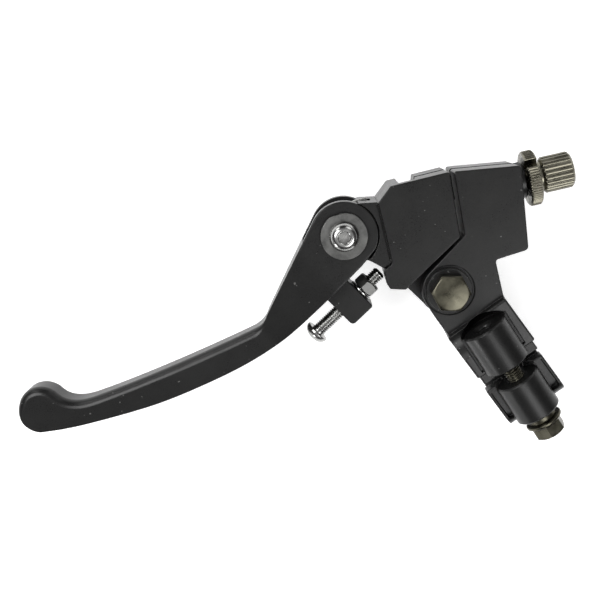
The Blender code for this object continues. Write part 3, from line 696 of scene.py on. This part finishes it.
def make_clamp_fasteners():
    washer_thickness, flange_thickness, head_height = 2.2, 1.7, 6.3
    washer_radius, flange_radius, thread_end = 5.1, 6.7, -6.0
    reach = GAP - 0.02
    down = Vector(on_bolt(-1, 1)) - Vector(on_bolt(0, 1))
    washer_top = CAP_BOSS_BOTTOM - GAP
    head = washer_top - washer_thickness - GAP
    for side, where in SIDES:
        ring = tube_profile(washer_radius, M6_RADIUS + RUN, washer_thickness + reach, -reach)
        washer = lathe("clamp_washer_ring_" + where, ring, on_bolt(washer_top, side), down, GUNMETAL)
        finish_piece(washer, "perch", "clamp_hardware", "clamp_washer_" + where)
        tip = -(Vector(on_bolt(CLAMP_BOLT_TIP, side)) - Vector(on_bolt(head, side))).length
        rings, thread = threaded(M6_RADIUS, M6_PITCH, tip + 0.6, thread_end)
        profile = ([(0, tip), (M6_RADIUS - 0.7, tip)] + rings
                   + [(M6_RADIUS, 0), (flange_radius - 0.25, 0), (flange_radius, 0.25),
                      (flange_radius, 0.85), (flange_radius - 0.25, 1.1),
                      (5.6, flange_thickness), (0, flange_thickness)])
        bolt = lathe("clamp_flange_bolt_" + where, profile, on_bolt(head, side), down, GUNMETAL,
                     shape=thread)
        join(bolt, hexagon("clamp_hex_" + where, M6_HEX, on_bolt(head - 0.6, side),
                           on_bolt(head - head_height, side), CLAMP_HEX_TURN, GUNMETAL))
        finish_piece(bolt, "perch", "clamp_hardware", "clamp_bolt_" + where)


# ---- lever pivot

def make_pivot_fasteners():
    face = BODY_HALF_DEPTH - SPOT_FACE_DEPTH
    washer_radius, washer_thickness = 8.0, 1.2
    head_height, nut_height, tip_length = 5.2, 7.0, 1.5
    ring = tube_profile(washer_radius, M8_RADIUS + RUN, washer_thickness, 0, 0.25)
    washer = lathe("pivot_front_washer", ring, at(PIVOT, face + GAP), UP, BLACK, 72)
    finish_piece(washer, "perch", "pivot_washer", "pivot_washer")
    washer = lathe("pivot_rear_washer", ring, at(PIVOT, -face - GAP), DOWN, GUNMETAL, 72)
    finish_piece(washer, "perch", "pivot_hardware", "pivot_nut_washer")
    head = face + GAP + washer_thickness + GAP
    tip = -head - nut_height - tip_length
    rings, thread = threaded(M8_RADIUS, M8_PITCH, tip + 0.7, -head + 2)
    profile = [(0, tip), (M8_RADIUS - 0.8, tip)] + rings + [(M8_RADIUS, head + 1), (0, head + 1)]
    bolt = lathe("pivot_hex_bolt", profile, at(PIVOT, 0), UP, GUNMETAL, shape=thread)
    join(bolt, hexagon("pivot_hex", M8_HEX, at(PIVOT, head), at(PIVOT, head + head_height),
                       math.radians(-6.8), GUNMETAL))
    finish_piece(bolt, "perch", "pivot_hardware", "pivot_bolt")
    nut = hexagon("pivot_lock_nut", M8_HEX, at(PIVOT, -head), at(PIVOT, -head - nut_height),
                  math.radians(10), GUNMETAL, both=True)
    cut(nut, flared("pivot_nut_bore", M8_RADIUS + RUN, at(PIVOT, -head + 2),
                    at(PIVOT, -head - nut_height), 0.5))
    finish_piece(nut, "perch", "pivot_hardware", "pivot_nut")


# ---- knuckle

def make_knuckle():
    depth = BODY_HALF_DEPTH
    block = rounded([(-3.4, 75.1, 0.5), (3.3, 77.2, 1.2), (22.3, 69.1, 0.8), (12.3, 48.5, 0.8),
                     (-13.5, 44.7, 1.2), (-17.8, 48.2, 1.2), (-17.6, 50.6, 1.2), (-15.6, 54.9, 0.8),
                     (-12.0, 54.9, 1.6), (-7.2, 65.8, 6.0)])
    knuckle = soft_prism("lever_knuckle", block, -depth, depth, 0.4)

    shelf = rounded([(-9.7, 79.4, 0), (-3.6, 75.4, 0), (-1.5, 70.0, 0), (-8.0, 57.0, 0), (-13.0, 54.9, 0),
                     (-15.3, 55.3, 0.5), (-17.6, 60.3, 0)])
    shelf = soft_prism("shelf", shelf, -FORK_HALF_DEPTH, FORK_HALF_DEPTH, 0.25)
    cut(shelf, drill("shelf_relief", FOLD, EAR_RADIUS + GAP, 120))
    join(knuckle, shelf)
    tongue = arc(FOLD, TONGUE_RADIUS, 262, 38, 36)
    tongue = rounded(sharp(tongue) + [(-4.0, 74.7, 0), (0.0, 70.0, 0), (-6.0, 52.0, 0), (-15.0, 54.0, 0),
                                      (-18.2, 60.0, 2.0)])
    join(knuckle, soft_prism("tongue", tongue, -TONGUE_HALF_DEPTH, TONGUE_HALF_DEPTH, 0.3))
    tang = arc(PIVOT, TANG_RADIUS, 180, 360, 40)
    tang = tang + [(PIVOT[0] + TANG_RADIUS, 50.0), (-13.3, 50.0), (-13.3, 45.1)]
    join(knuckle, soft_prism("tang", tang, -TANG_HALF_DEPTH, TANG_HALF_DEPTH, 0.3))

    # A groove in the shelf along the foot of the block's wall
    wall = [(-3.6, 74.6), (-7.2, 65.8), (-11.4, 56.2)]
    groove_depth = 0.7
    near = [(x - 0.05, y + 0.02) for x, y in wall]
    far = [(x - 0.65, y + 0.27) for x, y in reversed(wall)]
    for side, where in SIDES:
        cut(knuckle, soft_prism("step_groove_" + where, near + far, side * (FORK_HALF_DEPTH - groove_depth),
                                side * (FORK_HALF_DEPTH + 1)))

    pocket_depth = depth - NIPPLE_FRONT_WALL
    cut(knuckle, rod("nipple_pocket", NIPPLE_POCKET_RADIUS, at(NIPPLE, -depth - 2),
                     at(NIPPLE, pocket_depth)))
    along = Vector((math.cos(NOTCH_ANGLE), math.sin(NOTCH_ANGLE)))
    across = Vector((-along.y, along.x)) * NOTCH_HALF_WIDTH
    foot, mouth = Vector(NIPPLE), Vector(NIPPLE) + along * 15
    notch = [tuple(foot - across), tuple(mouth - across), tuple(mouth + across), tuple(foot + across)]
    cut(knuckle, soft_prism("nipple_notch", notch, -depth - 2, pocket_depth))
    cut(knuckle, cable_slot("knuckle_cable_slot"))
    cut(knuckle, drill("bush_bore", PIVOT, BUSH_RADIUS + RUN))
    cut(knuckle, drill("sleeve_bore", FOLD, SLEEVE_RADIUS + RUN))
    room_left, room_right, room_top = -40.0, -5.2, 86.0
    spring_room = arc(FOLD, SPRING_SLOT_RADIUS, 270, 350, 16)
    spring_room += [(room_right, 75.4), (room_right, room_top), (room_left, room_top),
                    (room_left, FOLD[1] - SPRING_SLOT_RADIUS)]
    cut(knuckle, soft_prism("spring_room", spring_room, -SPRING_SLOT_HALF_DEPTH, SPRING_SLOT_HALF_DEPTH))
    finish_piece(knuckle, "lever_holder", "lever_holder", "knuckle")


# ---- blade

def neck_half_depth(x):
    """Half the blade's depth: thin along the arm, thickening to the fork's cheeks."""
    if x <= BLADE_ROOT_X:
        return BLADE_HALF_DEPTH
    if x >= NECK_BEND_X:
        return FORK_HALF_DEPTH
    share = (x - BLADE_ROOT_X) / (NECK_BEND_X - BLADE_ROOT_X)
    return BLADE_HALF_DEPTH + (FORK_HALF_DEPTH - BLADE_HALF_DEPTH) * share


def smoothstep(low, high, value):
    t = min(1.0, max(0.0, (value - low) / (high - low)))
    return t * t * (3 - 2 * t)


def split_by_x(ring, verts, limits):
    """A face's outline cut into faces at the points nearest to some X values, top and bottom."""
    turn_left = min(range(len(ring)), key=lambda i: verts[ring[i]][0])
    turn_right = max(range(len(ring)), key=lambda i: verts[ring[i]][0])
    ordered = ring[turn_left:] + ring[:turn_left]
    turn = (turn_right - turn_left) % len(ring)
    first, second = ordered[:turn + 1], [ordered[0]] + ordered[:turn - 1:-1]
    faces, low_first, low_second = [], 0, 0
    for limit in (*limits, None):
        if limit is None:
            high_first, high_second = len(first) - 1, len(second) - 1
        else:
            high_first = min(range(len(first)), key=lambda i: abs(verts[first[i]][0] - limit))
            high_second = min(range(len(second)), key=lambda i: abs(verts[second[i]][0] - limit))
        loop = first[low_first:high_first + 1] + second[low_second:high_second + 1][::-1]
        faces.append(tuple(dict.fromkeys(loop)))
        low_first, low_second = high_first, high_second
    return faces


def crown_radius(here):
    """The rim's radius on the blade's upper side: it swells past the neck and fades round the ball."""
    start = smoothstep(CROWN_START_X, CROWN_FULL_X, here.x)
    spoke = math.degrees(math.atan2(here.y - BALL_CENTRE[1], here.x - BALL_CENTRE[0])) % 360
    end = smoothstep(185, 125, spoke) if here.x < BALL_START_X else 1.0
    return LOWER_RIM_RADIUS + (CROWN_RADIUS - LOWER_RIM_RADIUS) * start * end


def make_blade():
    lower = flowing([(-146.8, 76.7), (-140.2, 73.7), (-125.7, 68.0), (-110.9, 62.9), (-95.2, 59.0),
                     (-79.0, 56.0), (-66.0, 54.8), (-56.0, 55.1), (-37.0, 57.8), (-21.0, 60.4)], 1.5)
    ear = arc(FOLD, EAR_RADIUS, -60, 118, 60)
    neck_end = (-59.2, 65.8)
    neck = [tuple(Vector(ear[-1]).lerp(Vector(neck_end), k / 24)) for k in range(1, 24)]
    upper = flowing([neck_end, (-61.2, 64.6), (-64.0, 64.05), (-68.5, 64.6), (-88.7, 68.8), (-109.0, 73.6),
                     (-127.5, 78.6), (-133.6, 80.8), (-137.2, 83.3), (-139.3, 86.2), (-140.3, 89.9)], 1.0)
    ball = arc(BALL_CENTRE, BALL_RADIUS, 24, 232, 48)
    outline = lower + ear + neck + upper + ball
    points = [Vector(p) for p in outline]
    insets = insets_of(points)
    radii = [LOWER_RIM_RADIUS] * len(lower + ear) + [NECK_RIM_RADIUS] * len(neck)
    radii += [crown_radius(here) for here in points[len(radii):]]

    steps = 18
    # The crown's faint polishing lines: step round the rim, and depth
    grooves = {10: 0.035, 11: 0.075, 12: 0.03, 13: 0.075, 14: 0.03, 15: 0.07}
    verts = []
    for side in (-1, 1):
        order = range(steps + 1) if side > 0 else range(steps, -1, -1)
        for k in order:
            angle = math.pi / 2 * k / steps
            for p, inset, radius in zip(points, insets, radii):
                share = max(0.0, (radius - LOWER_RIM_RADIUS) / (CROWN_RADIUS - LOWER_RIM_RADIUS))
                wobble = 0.75 + 0.6 * noise.noise(Vector((p.x * 0.11, p.y * 0.11, k * 0.9)))
                reach = radius - grooves.get(k, 0.0) * share * wobble
                flat = p + inset * (radius - reach * math.cos(angle))
                depth = neck_half_depth(flat.x)
                verts.append((flat.x, flat.y, side * (depth - radius + reach * math.sin(angle))))
    count = len(points)
    faces = rings_to_faces(2 * (steps + 1), count, False)
    for layer in (0, 2 * steps + 1):
        ring = [layer * count + i for i in range(count)]
        faces += split_by_x(ring, verts, (BLADE_ROOT_X, NECK_BEND_X))
    blade = new_solid("lever_blade", verts, faces, BLACK)

    tab = rounded([(*along_screw(TAB_START, -9.0), 0), (*along_screw(TAB_END, -9.0), 0),
                   (*along_screw(TAB_END, 6.6), 1.6), (*along_screw(TAB_START, 6.6), 0.8)])
    join(blade, soft_prism("stop_tab", tab, -TAB_HALF_DEPTH, TAB_HALF_DEPTH, 0.4))
    bridge_top, bridge_end, slot_bottom, slot_top = 61.6, -25.6, 50.0, 90.0
    slot = [(FORK_SLOT_FLOOR, bridge_top), (bridge_end, bridge_top), (bridge_end, slot_bottom),
            (0.0, slot_bottom), (0.0, slot_top), (FORK_SLOT_FLOOR, slot_top)]
    cut(blade, soft_prism("fork_slot", slot, -FORK_SLOT_HALF_DEPTH, FORK_SLOT_HALF_DEPTH))
    cut(blade, drill("fold_bore", FOLD, M6_RADIUS + RUN, 32))
    cut(blade, rod("reach_bore", M5_RADIUS + RUN, on_screw(TAB_START - 4), on_screw(TAB_END + 4), 32))
    finish_piece(blade, "blade_arm", "blade", "blade")


def make_fold_fasteners():
    m6_nut_height, socket = 6.0, 4.0
    ring = tube_profile(FOLD_WASHER_RADIUS, M6_RADIUS + RUN, FOLD_WASHER_THICKNESS, 0, 0.18)

    def punched(angle, radius, distance):
        """A stamped washer's edge: a short flat and a few burrs on one side."""
        if radius < FOLD_WASHER_RADIUS - 0.5:
            return radius
        degrees = math.degrees(angle) % 360
        flat = FOLD_WASHER_RADIUS * 0.955 / max(0.5, math.cos(math.radians(degrees - 250)))
        ripple = 0.12 * noise.noise(Vector((math.cos(angle) * 6, math.sin(angle) * 6, 3.0)))
        near = max(0.0, 1 - abs(degrees - 215) / 70)
        return min(radius, flat) + ripple * near

    washer = lathe("fold_front_washer", ring, at(FOLD, FORK_HALF_DEPTH + GAP), UP, STEEL, 120, punched)
    finish_piece(washer, "blade_arm", "washer_steel", "fold_washer")
    washer = lathe("fold_rear_washer", ring, at(FOLD, -FORK_HALF_DEPTH - GAP), DOWN, STEEL, 72)
    finish_piece(washer, "blade_arm", "washer_steel", "fold_nut_washer")
    seat = FORK_HALF_DEPTH + 2 * GAP + FOLD_WASHER_THICKNESS
    tip = -seat - m6_nut_height - 1.0 - seat
    dome = [(0, BUTTON_HEIGHT), (2.75, BUTTON_HEIGHT), (3.2, 3.22), (3.7, 2.98), (4.2, 2.6), (4.65, 2.05),
            (4.98, 1.4), (5.18, 0.75), (BUTTON_RADIUS, 0.35), (BUTTON_RADIUS - 0.12, 0), (M6_RADIUS, 0)]
    rings, thread = threaded(M6_RADIUS, M6_PITCH, tip + 0.5, -seat * 2 + 2)
    dome += rings[::-1] + [(M6_RADIUS - 0.6, tip), (0, tip)]
    screw = lathe("fold_button_screw", dome, at(FOLD, seat), UP, ZINC, 72, thread)
    cut(screw, hexagon("fold_socket", socket, at(FOLD, seat + 1.2), at(FOLD, seat + 6),
                       math.radians(20), ZINC))
    cut(screw, lathe("socket_chamfer", [(0, 0), (1.9, 0), (3.4, 1.0), (0, 1.0)],
                     at(FOLD, seat + BUTTON_HEIGHT - 0.3), UP, ZINC, 72))
    finish_piece(screw, "blade_arm", "zinc_screw", "fold_screw")
    nut_end = at(FOLD, -seat - m6_nut_height)
    nut = hexagon("fold_lock_nut", M6_HEX, at(FOLD, -seat), nut_end, 0.0, ZINC, both=True)
    cut(nut, flared("fold_nut_bore", M6_RADIUS + RUN, at(FOLD, -seat + 2), nut_end, 0.4))
    finish_piece(nut, "blade_arm", "zinc_screw", "fold_nut")


def make_fold_spring():
    """A torsion spring: one leg rests on the knuckle, the other on the floor of the fork."""
    pitch, steps_per_turn = 1.75, 32
    start_angle = math.radians(180)
    height = pitch * SPRING_TURNS
    steps = round(SPRING_TURNS * steps_per_turn)
    points = []
    for i in range(steps + 1):
        angle = start_angle - 2 * math.pi * SPRING_TURNS * i / steps
        points.append((FOLD[0] + SPRING_RADIUS * math.cos(angle), FOLD[1] + SPRING_RADIUS * math.sin(angle),
                       height / 2 - height * i / steps))
    leg = (FOLD[0] - SPRING_RADIUS - 0.2, FOLD[1] - 6.5, height / 2)
    first = Vector(points[0])
    points[0:0] = [leg, tuple(first.lerp(Vector(leg), 0.5))]
    last = Vector(points[-1])
    for step in ((6.0, 0.2, 0), (9.6, -0.3, 0), (13.6, -2.1, 0)):
        points.append(tuple(last + Vector(step)))
    curve = bpy.data.curves.new("wire", "CURVE")
    curve.dimensions = "3D"
    curve.bevel_depth = SPRING_WIRE / 2 * MM
    curve.bevel_resolution = 5
    curve.use_fill_caps = True
    spline = curve.splines.new("POLY")
    spline.points.add(len(points) - 1)
    for point, place in zip(spline.points, points):
        point.co = (*(Vector(place) * MM), 1)
    wire = add_object("wire", curve)
    bpy.context.view_layer.update()
    mesh = bpy.data.meshes.new_from_object(wire.evaluated_get(bpy.context.evaluated_depsgraph_get()))
    bpy.data.objects.remove(wire)
    verts = [v.co / MM for v in mesh.vertices]
    faces = [tuple(p.vertices) for p in mesh.polygons]
    bpy.data.meshes.remove(mesh)
    spring = new_solid("fold_torsion_spring", verts, faces, SPRING_STEEL)
    finish_piece(spring, "lever_holder", "spring", "fold_spring")


# ---- reach screw

def make_reach_fasteners():
    head_side = Vector((math.cos(SCREW_ANGLE), math.sin(SCREW_ANGLE), 0))
    tip = at(SCREW_TIP, 0)
    head, crown, cone = SCREW_HEAD_START, SCREW_HEAD_END, 0.7
    rim = SCREW_HEAD_RADIUS
    rings, thread = threaded(M5_RADIUS, M5_PITCH, cone, head - 0.3)
    profile = ([(0, 0), (M5_RADIUS - cone, 0)] + rings
               + [(M5_RADIUS, head), (rim - 0.2, head), (rim, head + 0.25), (rim, head + 0.8),
                  (rim - 0.18, head + 1.35), (rim - 0.6, head + 2.0), (rim - 1.2, head + 2.55),
                  (rim - 2.0, head + 2.95), (rim - 3.0, head + 3.2), (1.0, crown), (0, crown)])
    screw = lathe("reach_pan_screw", profile, tip, head_side, ZINC, shape=thread)
    sideways = Vector((-head_side.y, head_side.x, 0))
    levels = ((Vector(tip) + head_side * (crown - 1.7), 0.7, 0.35),
              (Vector(tip) + head_side * (crown + 0.5), 2.3, 0.5))
    recess = [tapered_box(name, levels, across, head_side.cross(across), ZINC)
              for name, across in (("cross_a", sideways), ("cross_b", Vector(UP)))]
    cut(screw, *recess)
    finish_piece(screw, "reach_screw_body", "zinc_screw", "reach_screw")

    nut = hexagon("reach_hex_nut", M5_HEX, on_screw(NUT_START), on_screw(NUT_END), math.radians(14),
                  DULL_ZINC, both=True)
    bore = M5_RADIUS + RUN
    root = bore + THREAD_DEPTH * M5_PITCH
    low, high = NUT_START - 1.0, NUT_END + 1.0
    rings, thread = threaded(root, M5_PITCH, NUT_START + 0.5, NUT_END - 0.5)
    profile = ([(0, low), (bore + 1.4, low), (bore, NUT_START + 0.4)] + rings
               + [(bore, NUT_END - 0.4), (bore + 1.4, high), (0, high)])
    cut(nut, lathe("lock_nut_bore", profile, tip, head_side, DULL_ZINC, 32, thread))
    finish_piece(nut, "lock_nut_body", "zinc_screw", "reach_lock_nut")
    ring = tube_profile(4.5, bore, REACH_WASHER_END, REACH_WASHER_START, 0.12)
    washer = lathe("reach_thin_washer", ring, tip, head_side, ZINC)
    finish_piece(washer, "blade_arm", "washer_steel", "reach_washer")


# ---- cable adjuster

def fluted(outer, depth, count, low, high, chamfer, sharpness):
    """The radius of a barrel with flutes along it, tapering into its end chamfers."""
    def shape(angle, radius, distance):
        if radius < outer - chamfer - 0.01 or not low - 0.01 <= distance <= high + 0.01:
            return radius
        phase = abs(math.sin(angle * count / 2)) ** sharpness
        return min(radius, outer - depth * (1 - phase))
    return shape


def barrel_rings(radius, low, high, chamfer):
    """Profile points down the outside of a barrel, from its high end to its low end."""
    steps = 4
    down = [(radius - chamfer * (1 - k / steps), high - chamfer * k / steps) for k in range(steps + 1)]
    up = [(radius - chamfer * k / steps, low + chamfer * (1 - k / steps)) for k in range(steps + 1)]
    return down + up


def make_cable_adjuster():
    outward = Vector((math.cos(CABLE_ANGLE), math.sin(CABLE_ANGLE), 0))
    start = at(NIPPLE, 0)
    groove_radius, groove_start = 5.2, BARREL_START - 1.0
    ferrule_floor = BARREL_END - FERRULE_DEPTH
    bore, fine, chamfer, ring_chamfer = FERRULE_BORE_RADIUS, 0.4, 0.9, 0.6
    rings, thread = threaded(M8_RADIUS, M8_FINE_PITCH, SHANK_START + 0.6, groove_start - 0.6)
    profile = ([(bore, BARREL_END - fine), (bore + fine, BARREL_END)]
               + barrel_rings(BARREL_RADIUS, BARREL_START, BARREL_END, chamfer)
               + [(groove_radius, BARREL_START), (groove_radius, groove_start), (M8_RADIUS, groove_start)]
               + rings[::-1] + [(M8_RADIUS - 0.6, SHANK_START), (CABLE_BORE_RADIUS, SHANK_START),
                  (CABLE_BORE_RADIUS, ferrule_floor), (bore, ferrule_floor)])
    flutes = fluted(BARREL_RADIUS, 0.55, 20, BARREL_START, BARREL_END, chamfer, 0.75)

    def shape(angle, radius, distance):
        if distance >= BARREL_START - 0.01:
            return flutes(angle, radius, distance)
        if radius > groove_radius - 0.01:
            return radius
        return thread(angle, radius, distance)

    barrel = lathe("adjuster_barrel", profile, start, outward, PALE_GUNMETAL, 240, shape)
    finish_piece(barrel, "adjuster_body", "adjuster", "cable_adjuster")

    inner = M8_RADIUS + RUN
    profile = ([(inner, RING_END - fine), (inner + fine, RING_END)]
               + barrel_rings(RING_RADIUS, RING_START, RING_END, ring_chamfer)
               + [(inner + fine, RING_START), (inner, RING_START + fine)])
    ring = lathe("adjuster_knurled_ring", profile, start, outward, PALE_GUNMETAL, 384,
                 fluted(RING_RADIUS, 0.42, 64, RING_START, RING_END, ring_chamfer, 1.0))
    up = Vector((-math.sin(CABLE_ANGLE), math.cos(CABLE_ANGLE), 0))
    toward_slot = up * math.sin(RING_SLOT_ANGLE) + Vector((0, 0, 1)) * math.cos(RING_SLOT_ANGLE)
    middle = Vector(on_cable((RING_START + RING_END) / 2)) + toward_slot * RING_RADIUS
    slot_length, slot_height = 8.0, 2 * RING_RADIUS - 6.0
    levels = [(middle + toward_slot * level, slot_length / 2, (RING_SLOT_WIDTH + wider) / 2)
              for level, wider in ((-slot_height / 2, 0.0), (-0.5, 0.0), (1.0, 2.0))]
    cut(ring, tapered_box("ring_slot", levels, outward, outward.cross(toward_slot), PALE_GUNMETAL))
    finish_piece(ring, "lock_ring_body", "adjuster", "adjuster_lock_ring")


def dress_hidden_nodes():
    """Give the bush and sleeve inside the pivots their metals."""
    for node, mat in (("pivot_bush", BRONZE), ("fold_sleeve", STEEL)):
        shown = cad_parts[node]
        shown.data.materials.clear()
        shown.data.materials.append(mat)


# ---- studio

def make_floor():
    mat, tree, shader, coords = new_material("pale_floor")
    tone = noise_node(tree, coords, 3.0)
    colour = ramp_node(tree, tone, [(0.3, (0.90, 0.90, 0.90)), (0.7, (0.93, 0.93, 0.93))])
    tree.links.new(colour, shader.inputs["Base Color"])
    shader.inputs["Roughness"].default_value = 0.9
    shader.inputs["Specular IOR Level"].default_value = 0.0
    shader.inputs["Emission Color"].default_value = (1.0, 1.0, 1.0, 1.0)
    shader.inputs["Emission Strength"].default_value = 0.45
    half, clearance = 3.0, 0.0002
    level = CAD_BOX[0][2] - clearance
    mesh = bpy.data.meshes.new("floor")
    corners = [(-half, -half, level), (half, -half, level), (half, half, level), (-half, half, level)]
    mesh.from_pydata(corners, [], [(0, 1, 2, 3)])
    mesh.materials.append(mat)
    add_object("floor", mesh)


def add_light(name, place, target, size, power):
    data = bpy.data.lights.new(name, "AREA")
    data.shape = "DISK"
    data.size = size
    data.energy = power
    light = add_object(name, data)
    light.location = place
    light.rotation_euler = (Vector(target) - Vector(place)).to_track_quat("-Z", "Y").to_euler()


def light_scene():
    """A grey ceiling in front of the object, dark sides, a paler horizon and five soft lamps."""
    world = bpy.context.scene.world or bpy.data.worlds.new("studio")
    bpy.context.scene.world = world
    world.use_nodes = True
    tree = world.node_tree
    separate = tree.nodes.new("ShaderNodeSeparateXYZ")
    coords = tree.nodes.new("ShaderNodeTexCoord").outputs["Generated"]
    tree.links.new(coords, separate.inputs["Vector"])
    height = range_node(tree, separate.outputs["Z"], -1.0, 1.0, 0.0, 1.0)
    horizon, side, front = 0.55, 0.06, 0.50
    greys = ((0.52, horizon), (0.60, side), (0.84, side), (0.96, front))
    tent = ramp_node(tree, height, [(stop, (grey,) * 3) for stop, grey in greys])
    background = tree.nodes["Background"]
    tree.links.new(tent, background.inputs["Color"])
    background.inputs["Strength"].default_value = 1.1
    middle = (-0.04, 0.05, 0.0)
    add_light("key", (-0.40, 0.65, 0.95), middle, 0.65, 9.5)
    add_light("top", (-0.10, 1.00, 0.42), middle, 0.35, 1.5)
    add_light("low", (0.05, -0.60, 0.95), middle, 0.65, 6.5)
    add_light("left", (-1.05, -0.15, 0.25), middle, 0.25, 2.5)
    add_light("right", (0.90, 0.50, 0.60), middle, 0.60, 2.0)


def add_camera():
    """Looking down the pivot bolt, leaning a little towards the bar and the blade's tip."""
    data = bpy.data.cameras.new("camera")
    data.lens = 57.0
    data.sensor_width = 36.0
    data.clip_start = 0.01
    data.clip_end = 20.0
    camera = add_object("camera", data)
    place = Vector((0.0027, 0.11351, 0.33866))
    target = Vector((-0.04720, 0.06214, -0.00005))
    up = Vector((0.58577, 0.78387, -0.20594))
    back = (place - target).normalized()
    right = up.cross(back).normalized()
    rotation = Matrix((right, back.cross(right), back)).transposed()
    camera.matrix_world = Matrix.Translation(place) @ rotation.to_4x4()
    bpy.context.scene.camera = camera


make_perch()
make_clamp_cap()
make_clamp_fasteners()
make_pivot_fasteners()
make_knuckle()
make_blade()
make_fold_fasteners()
make_fold_spring()
make_reach_fasteners()
make_cable_adjuster()
dress_hidden_nodes()
make_floor()
light_scene()
add_camera()
bpy.context.scene.view_settings.view_transform = "Standard"

bpy.context.view_layer.update()
